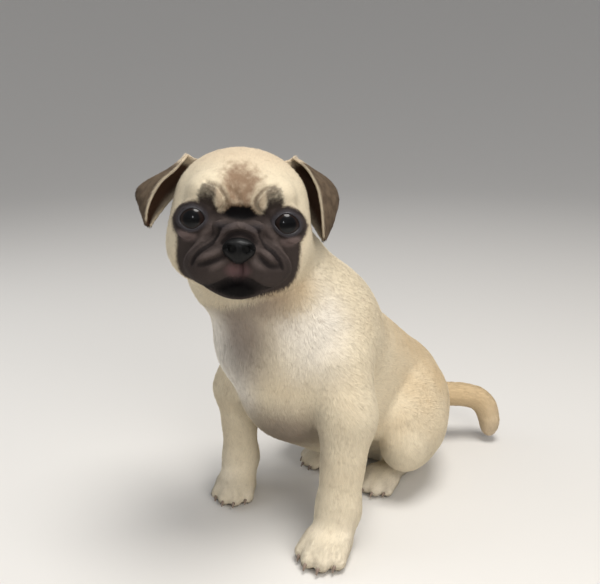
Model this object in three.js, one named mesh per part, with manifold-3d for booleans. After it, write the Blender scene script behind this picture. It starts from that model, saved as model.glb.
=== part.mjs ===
// A pug puppy about eight weeks old, sitting, with its head turned to its left: a still, life-size model.
// Millimetres, +Z up. The puppy faces -Y, so its left side is +X, and the floor is z = 0.
// The whole animal is one smooth field of rounded forms. Each node is that field's surface inside its own
// region, so neighbouring nodes meet face to face across a thin cut.
import * as THREE from "three";
import { mergeVertices } from "three/addons/utils/BufferGeometryUtils.js";
import Module from "manifold-3d";

const wasm = await Module();
wasm.setup();

const SEAM = 0.3; // gap kept between two nodes that meet
const BIG = 500; // side of a block that stands for half of space

const vec = (x, y, z) => new THREE.Vector3(x, y, z);
const radians = THREE.MathUtils.degToRad;

// Rounded forms. Each is a function of a point: negative inside, zero on the surface, about in mm.

function ellipsoid(centre, half, turn = [0, 0, 0]) {
  const back = new THREE.Quaternion()
    .setFromEuler(new THREE.Euler(...turn.map(radians), "XYZ"))
    .invert();
  const q = vec(0, 0, 0);
  return (p) => {
    q.copy(p).sub(centre).applyQuaternion(back);
    const a = Math.hypot(q.x / half.x, q.y / half.y, q.z / half.z);
    const b = Math.hypot(q.x / half.x ** 2, q.y / half.y ** 2, q.z / half.z ** 2);
    return b > 0 ? (a * (a - 1)) / b : -Math.min(half.x, half.y, half.z);
  };
}

// A limb from one point to another, round at both ends, whose radius runs from one value to the other.
function limb(from, to, startRadius, endRadius = startRadius) {
  const along = to.clone().sub(from);
  const length2 = along.lengthSq();
  const q = vec(0, 0, 0);
  return (p) => {
    q.copy(p).sub(from);
    const t = THREE.MathUtils.clamp(q.dot(along) / length2, 0, 1);
    return q.addScaledVector(along, -t).length() - THREE.MathUtils.lerp(startRadius, endRadius, t);
  };
}

// Joins forms with a smooth fillet about `soft` mm wide.
function blend(soft, ...forms) {
  return (p) => {
    let d = forms[0](p);
    for (let i = 1; i < forms.length; i++) {
      const e = forms[i](p);
      const h = Math.max(soft - Math.abs(d - e), 0) / soft;
      d = Math.min(d, e) - (h * h * soft) / 4;
    }
    return d;
  };
}

// Takes a form out of another, with a soft edge.
function hollow(soft, form, taken) {
  return (p) => {
    const d = form(p);
    const e = -taken(p);
    const h = Math.max(soft - Math.abs(d - e), 0) / soft;
    return Math.max(d, e) + (h * h * soft) / 4;
  };
}

// Makes a form in the left half the same in the right half.
function bothSides(form) {
  const q = vec(0, 0, 0);
  return (p) => form(q.set(Math.abs(p.x), p.y, p.z));
}

// The head, in its own frame: x to the puppy's left, -y out through the nose, z up, origin mid skull.
const EYE = vec(24.6, -28, -0.4);
const EYE_RADIUS = 8.8;
const NOSE = vec(0.5, -45, -14.6);

const headForm = (() => {
  const cranium = ellipsoid(vec(0, 6, 11), vec(40, 41, 34));
  const cheek = bothSides(ellipsoid(vec(20, -3, -13), vec(22.5, 26, 23)));
  const flew = bothSides(ellipsoid(vec(13.5, -28.5, -23), vec(15.5, 17, 14), [0, 0, -16]));
  const bridge = ellipsoid(vec(0, -33, -12), vec(14, 13, 10));
  const roll = ellipsoid(vec(0, -37.5, -4), vec(13, 7.5, 4.5));
  const chin = ellipsoid(vec(0, -27.5, -34), vec(15, 14.5, 9));
  const brow = bothSides(ellipsoid(vec(16, -25, 15), vec(14, 12, 11), [0, 0, -16]));
  const lids = bothSides(ellipsoid(EYE, vec(12, 10.8, 10.8)));
  const stop = ellipsoid(vec(0, -42, 4), vec(14, 7, 3.2));
  const underLid = limb(vec(20, -38.6, -6.4), vec(27, -33.2, -13.6), 2, 2.6);
  const overFlew = limb(vec(27, -33.2, -13.6), vec(35.4, -21, -25), 2.6, 2.8);
  const crease = bothSides(blend(2, underLid, overFlew));
  const muzzle = blend(5, blend(6, flew, bridge, chin), roll);
  const solidHead = blend(4, blend(7, blend(14, cranium, cheek), brow, muzzle), lids);
  return hollow(5, hollow(5, solidHead, stop), crease);
})();

// The head's place on the body: where its origin is, and how it turns.
const HEAD = vec(-6, -80, 204);
const HEAD_TURN = new THREE.Quaternion().setFromEuler(
  new THREE.Euler(radians(-13), radians(4), radians(46), "ZXY"),
);
const HEAD_BACK = HEAD_TURN.clone().invert();
const fromHead = (p) => p.clone().applyQuaternion(HEAD_TURN).add(HEAD);

function placedHead(form) {
  const q = vec(0, 0, 0);
  return (p) => form(q.copy(p).sub(HEAD).applyQuaternion(HEAD_BACK));
}

// The body's joints, worked out for the puppy's left side first.
const WITHERS = vec(-3, -27, 128);
const NAPE = vec(-16, -62, 176);
const TAIL_PATH = [
  vec(2, 96, 44), vec(14, 112, 40), vec(26, 128, 38), vec(37, 138, 35), vec(44, 142, 28), vec(48, 142, 18), vec(49, 141, 10),
];
const TAIL_RADII = [12, 10.5, 10, 9.6, 9.2, 8, 6];

const LEGS = {
  left: { shoulder: vec(32, -34, 112), elbow: vec(45, -41, 84), wrist: vec(47, -51, 25), aim: 14, thick: 1.06 },
  right: { shoulder: vec(-36, -38, 112), elbow: vec(-47, -47, 80), wrist: vec(-50, -43, 24), aim: 30, thick: 0.95 },
};
const HINDS = {
  left: { hip: vec(32, 68, 60), knee: vec(46, 22, 38), hock: vec(24, 70, 8), aim: 4 },
  right: { hip: vec(-32, 68, 60), knee: vec(-46, 22, 38), hock: vec(-24, 70, 8), aim: -4 },
};

const trunkForm = blend(
  16,
  ellipsoid(vec(-3, -26, 118), vec(42, 48, 54), [-30, 0, 0]),
  ellipsoid(vec(-8, -52, 122), vec(38, 38, 34), [-14, 0, 0]),
  limb(vec(-2, -18, 120), vec(0, 62, 62), 42, 40),
  ellipsoid(vec(-6, -30, 85), vec(37, 40, 37)),
  ellipsoid(vec(0, 4, 68), vec(38, 44, 40)),
  ellipsoid(vec(0, 66, 43.5), vec(44, 42, 46)),
);
const neckForm = limb(WITHERS, NAPE, 46, 41);

function pointAhead(from, degrees, forward, up = 0, aside = 0) {
  const a = radians(degrees);
  return from.clone().add(
    vec(
      forward * Math.sin(a) + aside * Math.cos(a),
      -forward * Math.cos(a) + aside * Math.sin(a),
      up,
    ),
  );
}

const TOE_SPREAD = [-11.2, -4.1, 4.1, 11.2]; // each toe's place across the paw
const TOE_REACH = [30, 36, 36, 30]; // and how far its tip lies ahead of the wrist

function pawForm(wrist, aim, scale = 1) {
  const heel = vec(wrist.x, wrist.y, 0);
  const at = (forward, up, aside) => pointAhead(heel, aim, forward * scale, up * scale, aside * scale);
  const palm = ellipsoid(at(14, 8, 0), vec(13.5 * scale, 17 * scale, 10 * scale), [0, 0, aim]);
  const toes = TOE_SPREAD.map((aside, i) =>
    limb(at(15, 10, aside * 0.8), at(TOE_REACH[i] - 6, 5.4, aside), 5.6 * scale, 5.3 * scale),
  );
  return blend(5, palm, blend(2.2, ...toes));
}

function foreleg({ shoulder, elbow, wrist, aim, thick }) {
  const upper = limb(shoulder, elbow, 23, 17 * thick);
  const forearm = limb(elbow, wrist, 16.5 * thick, 13 * thick);
  const pastern = limb(wrist, pointAhead(vec(wrist.x, wrist.y, 10), aim, 9), 13 * thick, 12);
  return blend(9, blend(10, upper, forearm), blend(6, pastern, pawForm(wrist, aim, thick)));
}

function hindleg({ hip, knee, hock, aim }) {
  const side = Math.sign(hip.x);
  const thigh = ellipsoid(hip.clone().lerp(knee, 0.42), vec(22, 41, 34), [26, 0, side * 12]);
  const stifle = limb(hip.clone().lerp(knee, 0.6), knee, 21, 14);
  const shank = limb(knee, hock, 12, 9);
  const foot = limb(hock, pointAhead(hock, aim, 44), 9.4, 8.8);
  const paw = pawForm(pointAhead(hock, aim, 34), aim, 0.92);
  return blend(10, blend(12, thigh, stifle), blend(6, shank, blend(6, foot, paw)));
}

function tailForm() {
  const pieces = TAIL_PATH.slice(1).map((p, i) => limb(TAIL_PATH[i], p, TAIL_RADII[i], TAIL_RADII[i + 1]));
  return blend(3, ...pieces);
}

const head = placedHead(headForm);
const legForms = [foreleg(LEGS.left), foreleg(LEGS.right), hindleg(HINDS.left), hindleg(HINDS.right)];
const body = blend(9, blend(14, trunkForm, neckForm), ...legForms, tailForm());
const whole = blend(10, head, body);

// Meshing. The surface of a form inside a box, one vertex to each crossed cell, moved on to the form itself.

function slope(form, p, step = 0.2) {
  const q = p.clone();
  const along = (axis) => {
    q.copy(p)[axis] += step;
    const ahead = form(q);
    q.copy(p)[axis] -= step;
    return (ahead - form(q)) / (2 * step);
  };
  return vec(along("x"), along("y"), along("z"));
}

function settle(form, p, reach) {
  const start = p.clone();
  for (let i = 0; i < 4; i++) {
    const g = slope(form, p);
    p.addScaledVector(g, -form(p) / Math.max(g.lengthSq(), 0.1));
  }
  const move = p.sub(start);
  return start.add(move.clampLength(0, reach));
}

function surfaceInBox(form, low, high, cell) {
  const count = ["x", "y", "z"].map((a) => Math.ceil((high[a] - low[a]) / cell) + 1);
  const [nx, ny, nz] = count;
  const corner = (i, j, k) => (k * ny + j) * nx + i;
  const place = (i, j, k) => vec(low.x + i * cell, low.y + j * cell, low.z + k * cell);
  const value = new Float32Array(nx * ny * nz);
  for (let k = 0; k < nz; k++)
    for (let j = 0; j < ny; j++)
      for (let i = 0; i < nx; i++) {
        const p = place(i, j, k);
        const rim = Math.max(low.x - p.x, low.y - p.y, low.z - p.z, p.x - high.x, p.y - high.y, p.z - high.z);
        value[corner(i, j, k)] = Math.max(form(p), rim + 1.2 * cell);
      }
  const inside = (i, j, k) => value[corner(i, j, k)] < 0;
  const vertexOf = new Int32Array(nx * ny * nz).fill(-1);
  const points = [];
  for (let k = 0; k < nz - 1; k++)
    for (let j = 0; j < ny - 1; j++)
      for (let i = 0; i < nx - 1; i++) {
        const sum = vec(0, 0, 0);
        let crossings = 0;
        for (let a = 0; a < 8; a++)
          for (const bit of [1, 2, 4]) {
            if (a & bit) continue;
            const b = a | bit;
            const va = value[corner(i + (a & 1), j + ((a >> 1) & 1), k + (a >> 2))];
            const vb = value[corner(i + (b & 1), j + ((b >> 1) & 1), k + (b >> 2))];
            if (va < 0 === vb < 0) continue;
            const t = va / (va - vb);
            const pa = place(i + (a & 1), j + ((a >> 1) & 1), k + (a >> 2));
            sum.add(pa.lerp(place(i + (b & 1), j + ((b >> 1) & 1), k + (b >> 2)), t));
            crossings++;
          }
        if (!crossings) continue;
        vertexOf[corner(i, j, k)] = points.length;
        const mean = sum.divideScalar(crossings);
        points.push(Math.abs(form(mean)) < cell ? settle(form, mean, cell * 0.6) : mean);
      }
  const faces = [];
  const quad = (a, b, c, d) => {
    if (points[a].distanceTo(points[c]) < points[b].distanceTo(points[d])) faces.push(a, b, c, a, c, d);
    else faces.push(a, b, d, b, c, d);
  };
  const cellAt = (i, j, k) => vertexOf[corner(i, j, k)];
  for (let k = 1; k < nz - 1; k++)
    for (let j = 1; j < ny - 1; j++)
      for (let i = 1; i < nx - 1; i++) {
        const here = inside(i, j, k);
        const rings = [
          [inside(i + 1, j, k), [cellAt(i, j - 1, k - 1), cellAt(i, j, k - 1), cellAt(i, j, k), cellAt(i, j - 1, k)]],
          [inside(i, j + 1, k), [cellAt(i - 1, j, k - 1), cellAt(i - 1, j, k), cellAt(i, j, k), cellAt(i, j, k - 1)]],
          [inside(i, j, k + 1), [cellAt(i - 1, j - 1, k), cellAt(i, j - 1, k), cellAt(i, j, k), cellAt(i - 1, j, k)]],
        ];
        for (const [there, ring] of rings)
          if (here !== there) quad(...(here ? ring : ring.reverse()));
      }
  const geometry = new THREE.BufferGeometry().setFromPoints(points);
  geometry.setIndex(faces);
  return geometry;
}

// A ball drawn out along its own rays to a form round its centre. Its rows crowd towards the -y pole.
function wrapped(form, centre, columns, rows, crowd, grow = 0) {
  const ball = new THREE.SphereGeometry(1, columns, rows);
  const place = ball.attributes.position;
  const ray = vec(0, 0, 0);
  for (let i = 0; i < place.count; i++) {
    ray.fromBufferAttribute(place, i).normalize();
    const polar = Math.acos(THREE.MathUtils.clamp(-ray.y, -1, 1)) / Math.PI;
    const moved = Math.PI * (polar - (crowd * Math.sin(Math.PI * polar)) / Math.PI);
    const flat = Math.hypot(ray.x, ray.z) || 1;
    const out = vec((ray.x / flat) * Math.sin(moved), -Math.cos(moved), (ray.z / flat) * Math.sin(moved));
    let reach = 4;
    for (let step = 0; step < 60; step++) {
      const d = form(centre.clone().addScaledVector(out, reach)) - grow;
      reach -= d * 0.7;
      if (Math.abs(d) < 0.005) break;
    }
    place.setXYZ(i, ...centre.clone().addScaledVector(out, reach).toArray());
  }
  return ball;
}

// Solids.

function solid(geometry) {
  const bare = geometry.clone();
  for (const name of Object.keys(bare.attributes)) if (name !== "position") bare.deleteAttribute(name);
  const merged = mergeVertices(bare, 1e-4);
  return new wasm.Manifold(
    new wasm.Mesh({
      numProp: 3,
      vertProperties: merged.attributes.position.array,
      triVerts: new Uint32Array(merged.index.array),
    }),
  );
}

// The block on the side of a plane that the normal points to, starting `gap` past the plane.
function beyond(point, normal, gap = SEAM / 2) {
  const n = normal.clone().normalize();
  const block = new THREE.BoxGeometry(BIG, BIG, BIG).translate(0, 0, BIG / 2 + gap);
  block.applyQuaternion(new THREE.Quaternion().setFromUnitVectors(vec(0, 0, 1), n));
  return solid(block.translate(point.x, point.y, point.z));
}

function largest(made) {
  return made.decompose().sort((a, b) => b.volume() - a.volume())[0];
}

// Corners closer than `near` become one, and the slivers between them go.
function tidied(made, near) {
  const { vertProperties, triVerts, numProp } = made.getMesh();
  const geometry = new THREE.BufferGeometry();
  const place = new Float32Array((vertProperties.length / numProp) * 3);
  for (let i = 0; i < place.length / 3; i++) place.set(vertProperties.subarray(i * numProp, i * numProp + 3), i * 3);
  geometry.setAttribute("position", new THREE.BufferAttribute(place, 3));
  geometry.setIndex(new THREE.BufferAttribute(new Uint32Array(triVerts), 1));
  const merged = mergeVertices(geometry, near);
  const index = [];
  const t = merged.index.array;
  for (let i = 0; i < t.length; i += 3)
    if (t[i] !== t[i + 1] && t[i + 1] !== t[i + 2] && t[i + 2] !== t[i]) index.push(t[i], t[i + 1], t[i + 2]);
  merged.setIndex(index);
  return merged;
}

function meshOf(made, name, material) {
  let geometry = tidied(made, 1e-5);
  for (const near of [0.02, 0.05, 0.01])
    try {
      const cleaner = tidied(made, near);
      geometry = tidied(largest(solid(cleaner)), 1e-5);
      if (simpleEdges(geometry)) break;
    } catch (error) {
      continue; // this merge opened a seam, so the next one is tried
    }
  geometry.computeVertexNormals();
  const mesh = new THREE.Mesh(geometry, material);
  mesh.name = name;
  return mesh;
}

// Regions. Each is a solid that holds one node's share of the animal; `grow` widens it by the gap.

// A round bar with ball ends whose radius runs from one value to the other.
function bar(from, to, startRadius, endRadius, grow = 0) {
  const along = to.clone().sub(from);
  const barrel = new THREE.CylinderGeometry(endRadius + grow, startRadius + grow, along.length(), 16);
  barrel.applyQuaternion(new THREE.Quaternion().setFromUnitVectors(vec(0, 1, 0), along.clone().normalize()));
  const middle = from.clone().lerp(to, 0.5);
  const ball = (centre, radius) =>
    solid(new THREE.SphereGeometry(radius + grow, 16, 10).translate(centre.x, centre.y, centre.z));
  return solid(barrel.translate(middle.x, middle.y, middle.z))
    .add(ball(from, startRadius))
    .add(ball(to, endRadius));
}

function foreRegion({ elbow, wrist, aim }, grow = 0) {
  const side = Math.sign(elbow.x);
  const top = vec(elbow.x - side * 3, elbow.y + 3, 106);
  const sole = pointAhead(vec(wrist.x, wrist.y, 0), aim, 13);
  const floorDisc = new THREE.CylinderGeometry(35 + grow, 35 + grow, 60 + 2 * grow, 12).rotateX(Math.PI / 2);
  return bar(top, wrist, 29, 22, grow).add(solid(floorDisc.translate(sole.x, sole.y, 2)));
}

function hindRegion({ hip, knee, hock, aim }, grow = 0) {
  const side = Math.sign(hip.x);
  const middle = hip.clone().lerp(knee, 0.45);
  const round = new THREE.SphereGeometry(1, 18, 12)
    .scale(25 + grow, 46 + grow, 39 + grow)
    .rotateX(radians(24))
    .rotateZ(radians(side * 12))
    .translate(middle.x + side * 2, middle.y, middle.z - 1);
  const under = pointAhead(hock, aim, 30);
  const footBox = new THREE.BoxGeometry(32 + 2 * grow, 96 + 2 * grow, 42 + 2 * grow)
    .rotateZ(radians(aim))
    .translate(under.x, under.y - 1, 1);
  return solid(round).add(solid(footBox));
}

const HEAD_CUT = { point: vec(-17, -62, 168), normal: vec(-0.12, -0.36, 0.92) };
const NECK_CUT = { point: vec(-3, -40, 144), normal: vec(-0.08, -0.4, 0.91) };
const TAIL_CUT = { point: vec(7, 103, 42), normal: vec(0.62, 0.78, -0.06) };
const above = (cut, gap) => beyond(cut.point, cut.normal, gap);
const below = (cut, gap) => beyond(cut.point, cut.normal.clone().negate(), gap);
const floor = beyond(vec(0, 0, 0), vec(0, 0, 1), 0);

const tailRegion = (grow = 0) => {
  const rim = 17 + grow;
  const core = new THREE.CylinderGeometry(rim, rim, 30 + 2 * grow, 14)
    .applyQuaternion(new THREE.Quaternion().setFromUnitVectors(vec(0, 1, 0), TAIL_CUT.normal.clone().normalize()))
    .translate(...TAIL_CUT.point.toArray());
  const rest = beyond(TAIL_CUT.point.clone().addScaledVector(TAIL_CUT.normal, 13), TAIL_CUT.normal, -grow);
  return solid(core).add(rest);
};

// True where every edge runs once each way, so that no edge is shared by four faces.
function simpleEdges(geometry) {
  const index = geometry.index.array;
  const seen = new Set();
  for (let i = 0; i < index.length; i += 3)
    for (let e = 0; e < 3; e++) {
      const key = index[i + e] * 1e6 + index[i + ((e + 1) % 3)];
      if (seen.has(key)) return false;
      seen.add(key);
    }
  return true;
}
let gridShift = 0;
function surface(low, high, cell) {
  const shift = vec(0.17, 0.11, 0.23).multiplyScalar(-cell * gridShift);
  return solid(surfaceInBox(whole, low.clone().add(shift), high, cell)).intersect(floor);
}
const nodes = {};
// Makes a node. Its grid is moved a little until no two sheets of the surface touch.
function build(name, make) {
  for (gridShift = 0; gridShift < 24; gridShift++)
    try {
      const made = largest(make());
      if (simpleEdges(tidied(made, 1e-3))) {
        nodes[name] = made;
        return;
      }
    } catch (error) {
      continue;
    }
  throw new Error(`no grid place suits ${name}`);
}

// Torso, neck and tail.
build("torso", () =>
  surface(vec(-66, -112, -8), vec(66, 126, 190), 11.4)
    .intersect(below(NECK_CUT))
    .subtract(foreRegion(LEGS.left, SEAM))
    .subtract(foreRegion(LEGS.right, SEAM))
    .subtract(hindRegion(HINDS.left, SEAM))
    .subtract(hindRegion(HINDS.right, SEAM))
    .subtract(tailRegion(SEAM)),
);
build("neck", () =>
  surface(vec(-70, -132, 96), vec(50, 36, 214), 8).intersect(above(NECK_CUT)).intersect(below(HEAD_CUT)),
);
build("tail", () => surface(vec(-28, 70, -6), vec(70, 160, 68), 6.2).intersect(tailRegion()));

// Legs and paws.
for (const [side, leg] of Object.entries(LEGS)) {
  const { elbow, wrist, aim } = leg;
  const region = foreRegion(leg);
  const ankle = {
    point: pointAhead(vec(wrist.x, wrist.y, 20), aim, 0),
    normal: pointAhead(vec(0, 0, 0.78), aim, -0.62),
  };
  build(`foreleg_${side}`, () =>
    surface(vec(elbow.x - 46, wrist.y - 60, -6), vec(elbow.x + 46, wrist.y + 64, 150), 7.4)
      .intersect(region)
      .intersect(above(ankle)),
  );
  build(`forepaw_${side}`, () =>
    surface(vec(wrist.x - 34, wrist.y - 60, -5), vec(wrist.x + 34, wrist.y + 26, 42), 4.1)
      .intersect(region)
      .intersect(below(ankle)),
  );
}
for (const [side, leg] of Object.entries(HINDS)) {
  const { hip, hock, aim } = leg;
  const region = hindRegion(leg);
  const front = pointAhead(hock, aim, 53);
  const pawBox = (grow) =>
    solid(
      new THREE.BoxGeometry(34 + 2 * grow, 46 + 2 * grow, 44 + 2 * grow)
        .rotateZ(radians(aim))
        .translate(front.x, front.y - 8, 0),
    );
  build(`hindleg_${side}`, () =>
    surface(vec(hip.x - 44, -16, -6), vec(hip.x + 44, 118, 106), 8.4).intersect(region).subtract(pawBox(SEAM)),
  );
  build(`hindpaw_${side}`, () =>
    surface(vec(hock.x - 26, -16, -5), vec(hock.x + 30, 60, 34), 4.3).intersect(region).intersect(pawBox(0)),
  );
}

// Claws: short blunt cones, their roots sunk well into the toes.
function claws({ x, y }, aim, scale) {
  return TOE_SPREAD.map((aside, i) => {
    const root = pointAhead(vec(x, y, 5 * scale), aim, (TOE_REACH[i] - 3.4) * scale, 0, aside * scale);
    const tip = pointAhead(vec(x, y, 1.6), aim, (TOE_REACH[i] + 2.6) * scale, 0, aside * scale);
    const along = tip.clone().sub(root);
    const middle = root.clone().lerp(tip, 0.5);
    return solid(
      new THREE.CylinderGeometry(0.35, 1.5 * scale, along.length(), 5)
        .applyQuaternion(new THREE.Quaternion().setFromUnitVectors(vec(0, 1, 0), along.normalize()))
        .translate(middle.x, middle.y, middle.z),
    );
  });
}
const withClaws = (paw, ...place) => claws(...place).reduce((made, claw) => made.add(claw), paw);
for (const [side, { wrist, aim, thick }] of Object.entries(LEGS)) {
  const paw = nodes[`forepaw_${side}`];
  build(`forepaw_${side}`, () => withClaws(paw, wrist, aim, thick));
}
for (const [side, { hock, aim }] of Object.entries(HINDS)) {
  const paw = nodes[`hindpaw_${side}`];
  build(`hindpaw_${side}`, () => withClaws(paw, pointAhead(hock, aim, 34), aim, 0.92));
}

// Head. The field above the cut, and some way past it, wrapped from a point inside the skull.
const headPlace = new THREE.Matrix4().compose(HEAD, HEAD_TURN, vec(1, 1, 1));
const cutDistance = (() => {
  const n = HEAD_CUT.normal.clone().normalize();
  const q = vec(0, 0, 0);
  return (p) => q.copy(p).sub(HEAD_CUT.point).dot(n);
})();
const worldFromHead = vec(0, 0, 0);
const aboveCut = (p) => Math.max(whole(p), -cutDistance(p) - 16);
const skull = (p) => {
  worldFromHead.copy(p).applyMatrix4(headPlace);
  return aboveCut(worldFromHead);
};
const inHead = (geometry) => solid(geometry.applyMatrix4(headPlace));

const eyeBall = (grow) => (side) =>
  new THREE.SphereGeometry(EYE_RADIUS + grow, 18, 10).rotateX(Math.PI / 2).translate(side * EYE.x, EYE.y, EYE.z);
// The gap between the lids, an almond seen from the front.
const lidGap = (side) =>
  new THREE.CylinderGeometry(1, 1, 30, 24)
    .scale(6.9, 1, 5.7)
    .translate(0, -18, 0)
    .rotateZ(radians(side * 9))
    .translate(side * EYE.x, EYE.y, EYE.z);

const noseForm = blend(
  3,
  ellipsoid(NOSE, vec(7.7, 5.6, 5.4)),
  ellipsoid(NOSE.clone().add(vec(0, 0.5, -3.2)), vec(4.8, 4.6, 5)),
);
const noseBall = (grow) => wrapped(noseForm, NOSE, 16, 10, 0, grow);
const nostril = (side) =>
  new THREE.SphereGeometry(1, 8, 6).scale(1.9, 4, 1.4).rotateY(radians(side * 24)).translate(side * 3.5, NOSE.y - 6, NOSE.z + 0.2);

// A point of the face straight behind (x, z).
function onFace(x, z) {
  const p = vec(x, -95, z);
  for (let i = 0; i < 80; i++) {
    const d = skull(p);
    if (d < 0.02) break;
    p.y += d * 0.7;
  }
  return p;
}
// A groove that follows a line drawn on the face.
function groove(line, half) {
  const path = new THREE.CatmullRomCurve3(line.map(([x, z]) => onFace(x, z)));
  const section = new THREE.Shape([
    new THREE.Vector2(half, 0),
    new THREE.Vector2(0, half),
    new THREE.Vector2(-half, 0),
    new THREE.Vector2(0, -half),
  ]);
  return new THREE.ExtrudeGeometry(section, { steps: 18, extrudePath: path, bevelEnabled: false });
}
const MOUTH = [[-21, -36.5], [-14, -34], [-7, -31], [0, -29.4], [7, -31], [14, -34], [21, -36.5]];
const PHILTRUM = [[0, -19.5], [0, -24], [0, -29.6]];

let headSolid = inHead(wrapped(skull, vec(0, -8, -2), 40, 31, 0.75)).intersect(above(HEAD_CUT));
for (const side of [-1, 1]) {
  headSolid = headSolid.subtract(inHead(eyeBall(SEAM)(side))).subtract(inHead(lidGap(side)));
  build(side > 0 ? "eye_left" : "eye_right", () => inHead(eyeBall(0)(side)));
}
headSolid = headSolid
  .subtract(inHead(noseBall(SEAM)))
  .subtract(inHead(groove(MOUTH, 1.1)))
  .subtract(inHead(groove(PHILTRUM, 0.8)));
build("nose", () => inHead(noseBall(0)).subtract(inHead(nostril(1))).subtract(inHead(nostril(-1))));
build("head", () => headSolid);

// Ears. Each is a hind leaf that stands out from the skull and a front leaf folded forward over it, so the
// two leave a cup between them. A leaf is a thin plate between two edge lines.
const EARS = {
  left: {
    root: [vec(24, 10, 39), vec(29, 15, 30), vec(34, 17, 17), vec(41, 13, 5), vec(47, 5, -4.5), vec(48.6, 1, -7.2)],
    fold: [vec(29, 15, 41.6), vec(40, 21, 36.6), vec(53, 22, 29), vec(58, 19, 19.4), vec(55.4, 11, 6), vec(50, 2, -6.8)],
    edge: [vec(28.4, 4, 40.6), vec(36.6, -1, 34), vec(42.8, -4, 23.6), vec(45.8, -5, 12), vec(47.4, -5.4, 1), vec(48.4, -3.6, -5.6)],
  },
  right: {
    root: [vec(-26.6, 10, 36.6), vec(-31, 15, 29), vec(-36, 17, 20), vec(-43, 13, 11), vec(-49, 5, 1), vec(-51.8, 1, -4.4)],
    fold: [vec(-33, 15, 39.6), vec(-44, 21, 31), vec(-58.4, 22, 22), vec(-63, 19, 15.4), vec(-59.4, 11, 6.4), vec(-54.2, 2, -4.4)],
    edge: [vec(-33, 4, 37.8), vec(-38.4, -1, 29.2), vec(-45.8, -4, 21.2), vec(-50.4, -5, 12.8), vec(-53.2, -5.4, 4.4), vec(-53.8, -3.4, -1.4)],
  },
};
function leaf(from, to, bulge, thick) {
  const rows = 8;
  const columns = 4;
  const a = new THREE.CatmullRomCurve3(from);
  const b = new THREE.CatmullRomCurve3(to);
  const at = (i, j) => {
    const s = THREE.MathUtils.clamp(i / rows, 0, 1);
    const v = j / columns;
    const p = a.getPoint(s).lerp(b.getPoint(s), v);
    p.y += bulge * Math.sin(Math.PI * v) * Math.sin(Math.PI * s);
    return p;
  };
  const normal = (i, j) => {
    const down = at(Math.min(i + 0.2, rows), j).sub(at(Math.max(i - 0.2, 0), j));
    const over = at(i, j + 0.2).sub(at(i, j - 0.2));
    return down.cross(over).normalize();
  };
  const points = [];
  for (const face of [-0.5, 0.5])
    for (let i = 0; i <= rows; i++)
      for (let j = 0; j <= columns; j++) points.push(at(i, j).addScaledVector(normal(i, j), face * thick));
  const id = (f, i, j) => (f * (rows + 1) + i) * (columns + 1) + j;
  const faces = [];
  const quad = (p, q, r, s) => faces.push(p, q, r, p, r, s);
  for (let i = 0; i < rows; i++)
    for (let j = 0; j < columns; j++) {
      faces.push(id(1, i, j), id(1, i + 1, j), id(1, i + 1, j + 1), id(1, i, j), id(1, i + 1, j + 1), id(1, i, j + 1));
      faces.push(id(0, i, j), id(0, i + 1, j + 1), id(0, i + 1, j), id(0, i, j), id(0, i, j + 1), id(0, i + 1, j + 1));
    }
  for (let i = 0; i < rows; i++) {
    quad(id(0, i, 0), id(0, i + 1, 0), id(1, i + 1, 0), id(1, i, 0));
    quad(id(0, i + 1, columns), id(0, i, columns), id(1, i, columns), id(1, i + 1, columns));
  }
  for (let j = 0; j < columns; j++) {
    quad(id(0, 0, j + 1), id(0, 0, j), id(1, 0, j), id(1, 0, j + 1));
    quad(id(0, rows, j), id(0, rows, j + 1), id(1, rows, j + 1), id(1, rows, j));
  }
  const geometry = new THREE.BufferGeometry().setFromPoints(points);
  geometry.setIndex(faces);
  const made = solid(geometry);
  return made.volume() < 0 ? solid(flipped(geometry)) : made;
}
function flipped(geometry) {
  const index = geometry.index.array;
  for (let i = 0; i < index.length; i += 3) [index[i], index[i + 1]] = [index[i + 1], index[i]];
  return geometry;
}
const earless = inHead(wrapped(skull, vec(0, -8, -2), 40, 31, 0.75, SEAM));
for (const [side, { root, fold, edge }] of Object.entries(EARS)) {
  const hind = leaf(root, fold, 3, 2);
  const front = leaf(fold, edge, -2, 2);
  build(`ear_${side}`, () => hind.add(front).transform(headPlace.elements).subtract(earless));
}

// Looks and assembly.
const look = (name, color, roughness) => new THREE.MeshStandardMaterial({ name, color, roughness });
const fawn = look("fawn_coat", 0xdcc7a6, 0.9);
const mask = look("dark_velvet", 0x5b4f49, 0.9);
const gloss = look("eye_gloss", 0x0d0c0d, 0.12);
const leather = look("nose_leather", 0x1d1b1c, 0.4);
const lookOf = (name) => {
  if (name.startsWith("eye")) return gloss;
  if (name.startsWith("ear")) return mask;
  return name === "nose" ? leather : fawn;
};

const puppy = new THREE.Group();
puppy.name = "pug_puppy";
for (const [name, made] of Object.entries(nodes)) puppy.add(meshOf(made, name, lookOf(name)));

// The origin is the middle of the bounding box's foot.
const box = new THREE.Box3().setFromObject(puppy);
const middle = box.getCenter(vec(0, 0, 0));
for (const mesh of puppy.children) mesh.geometry.translate(-middle.x, -middle.y, -box.min.z);

export default puppy;
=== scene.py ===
# %% [markdown]
# # A sitting pug puppy, modelled as a life-size museum piece
#
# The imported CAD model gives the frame: it says how big the puppy is and where each part of it lies.
# This script dresses it. One skin takes the place of the flesh solids, the eyes, nose, lids and claws
# get their real finish, and a short coat of solid tufts lies over the skin.
#
# All shaping is done in millimetres in the puppy's own axes, in which it faces -y, its left side is +x
# and the floor is z = 0. The finished pieces are in metres, as Blender and the frame are.

import math

import bpy
import numpy as np
from mathutils import Matrix, Vector


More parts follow.
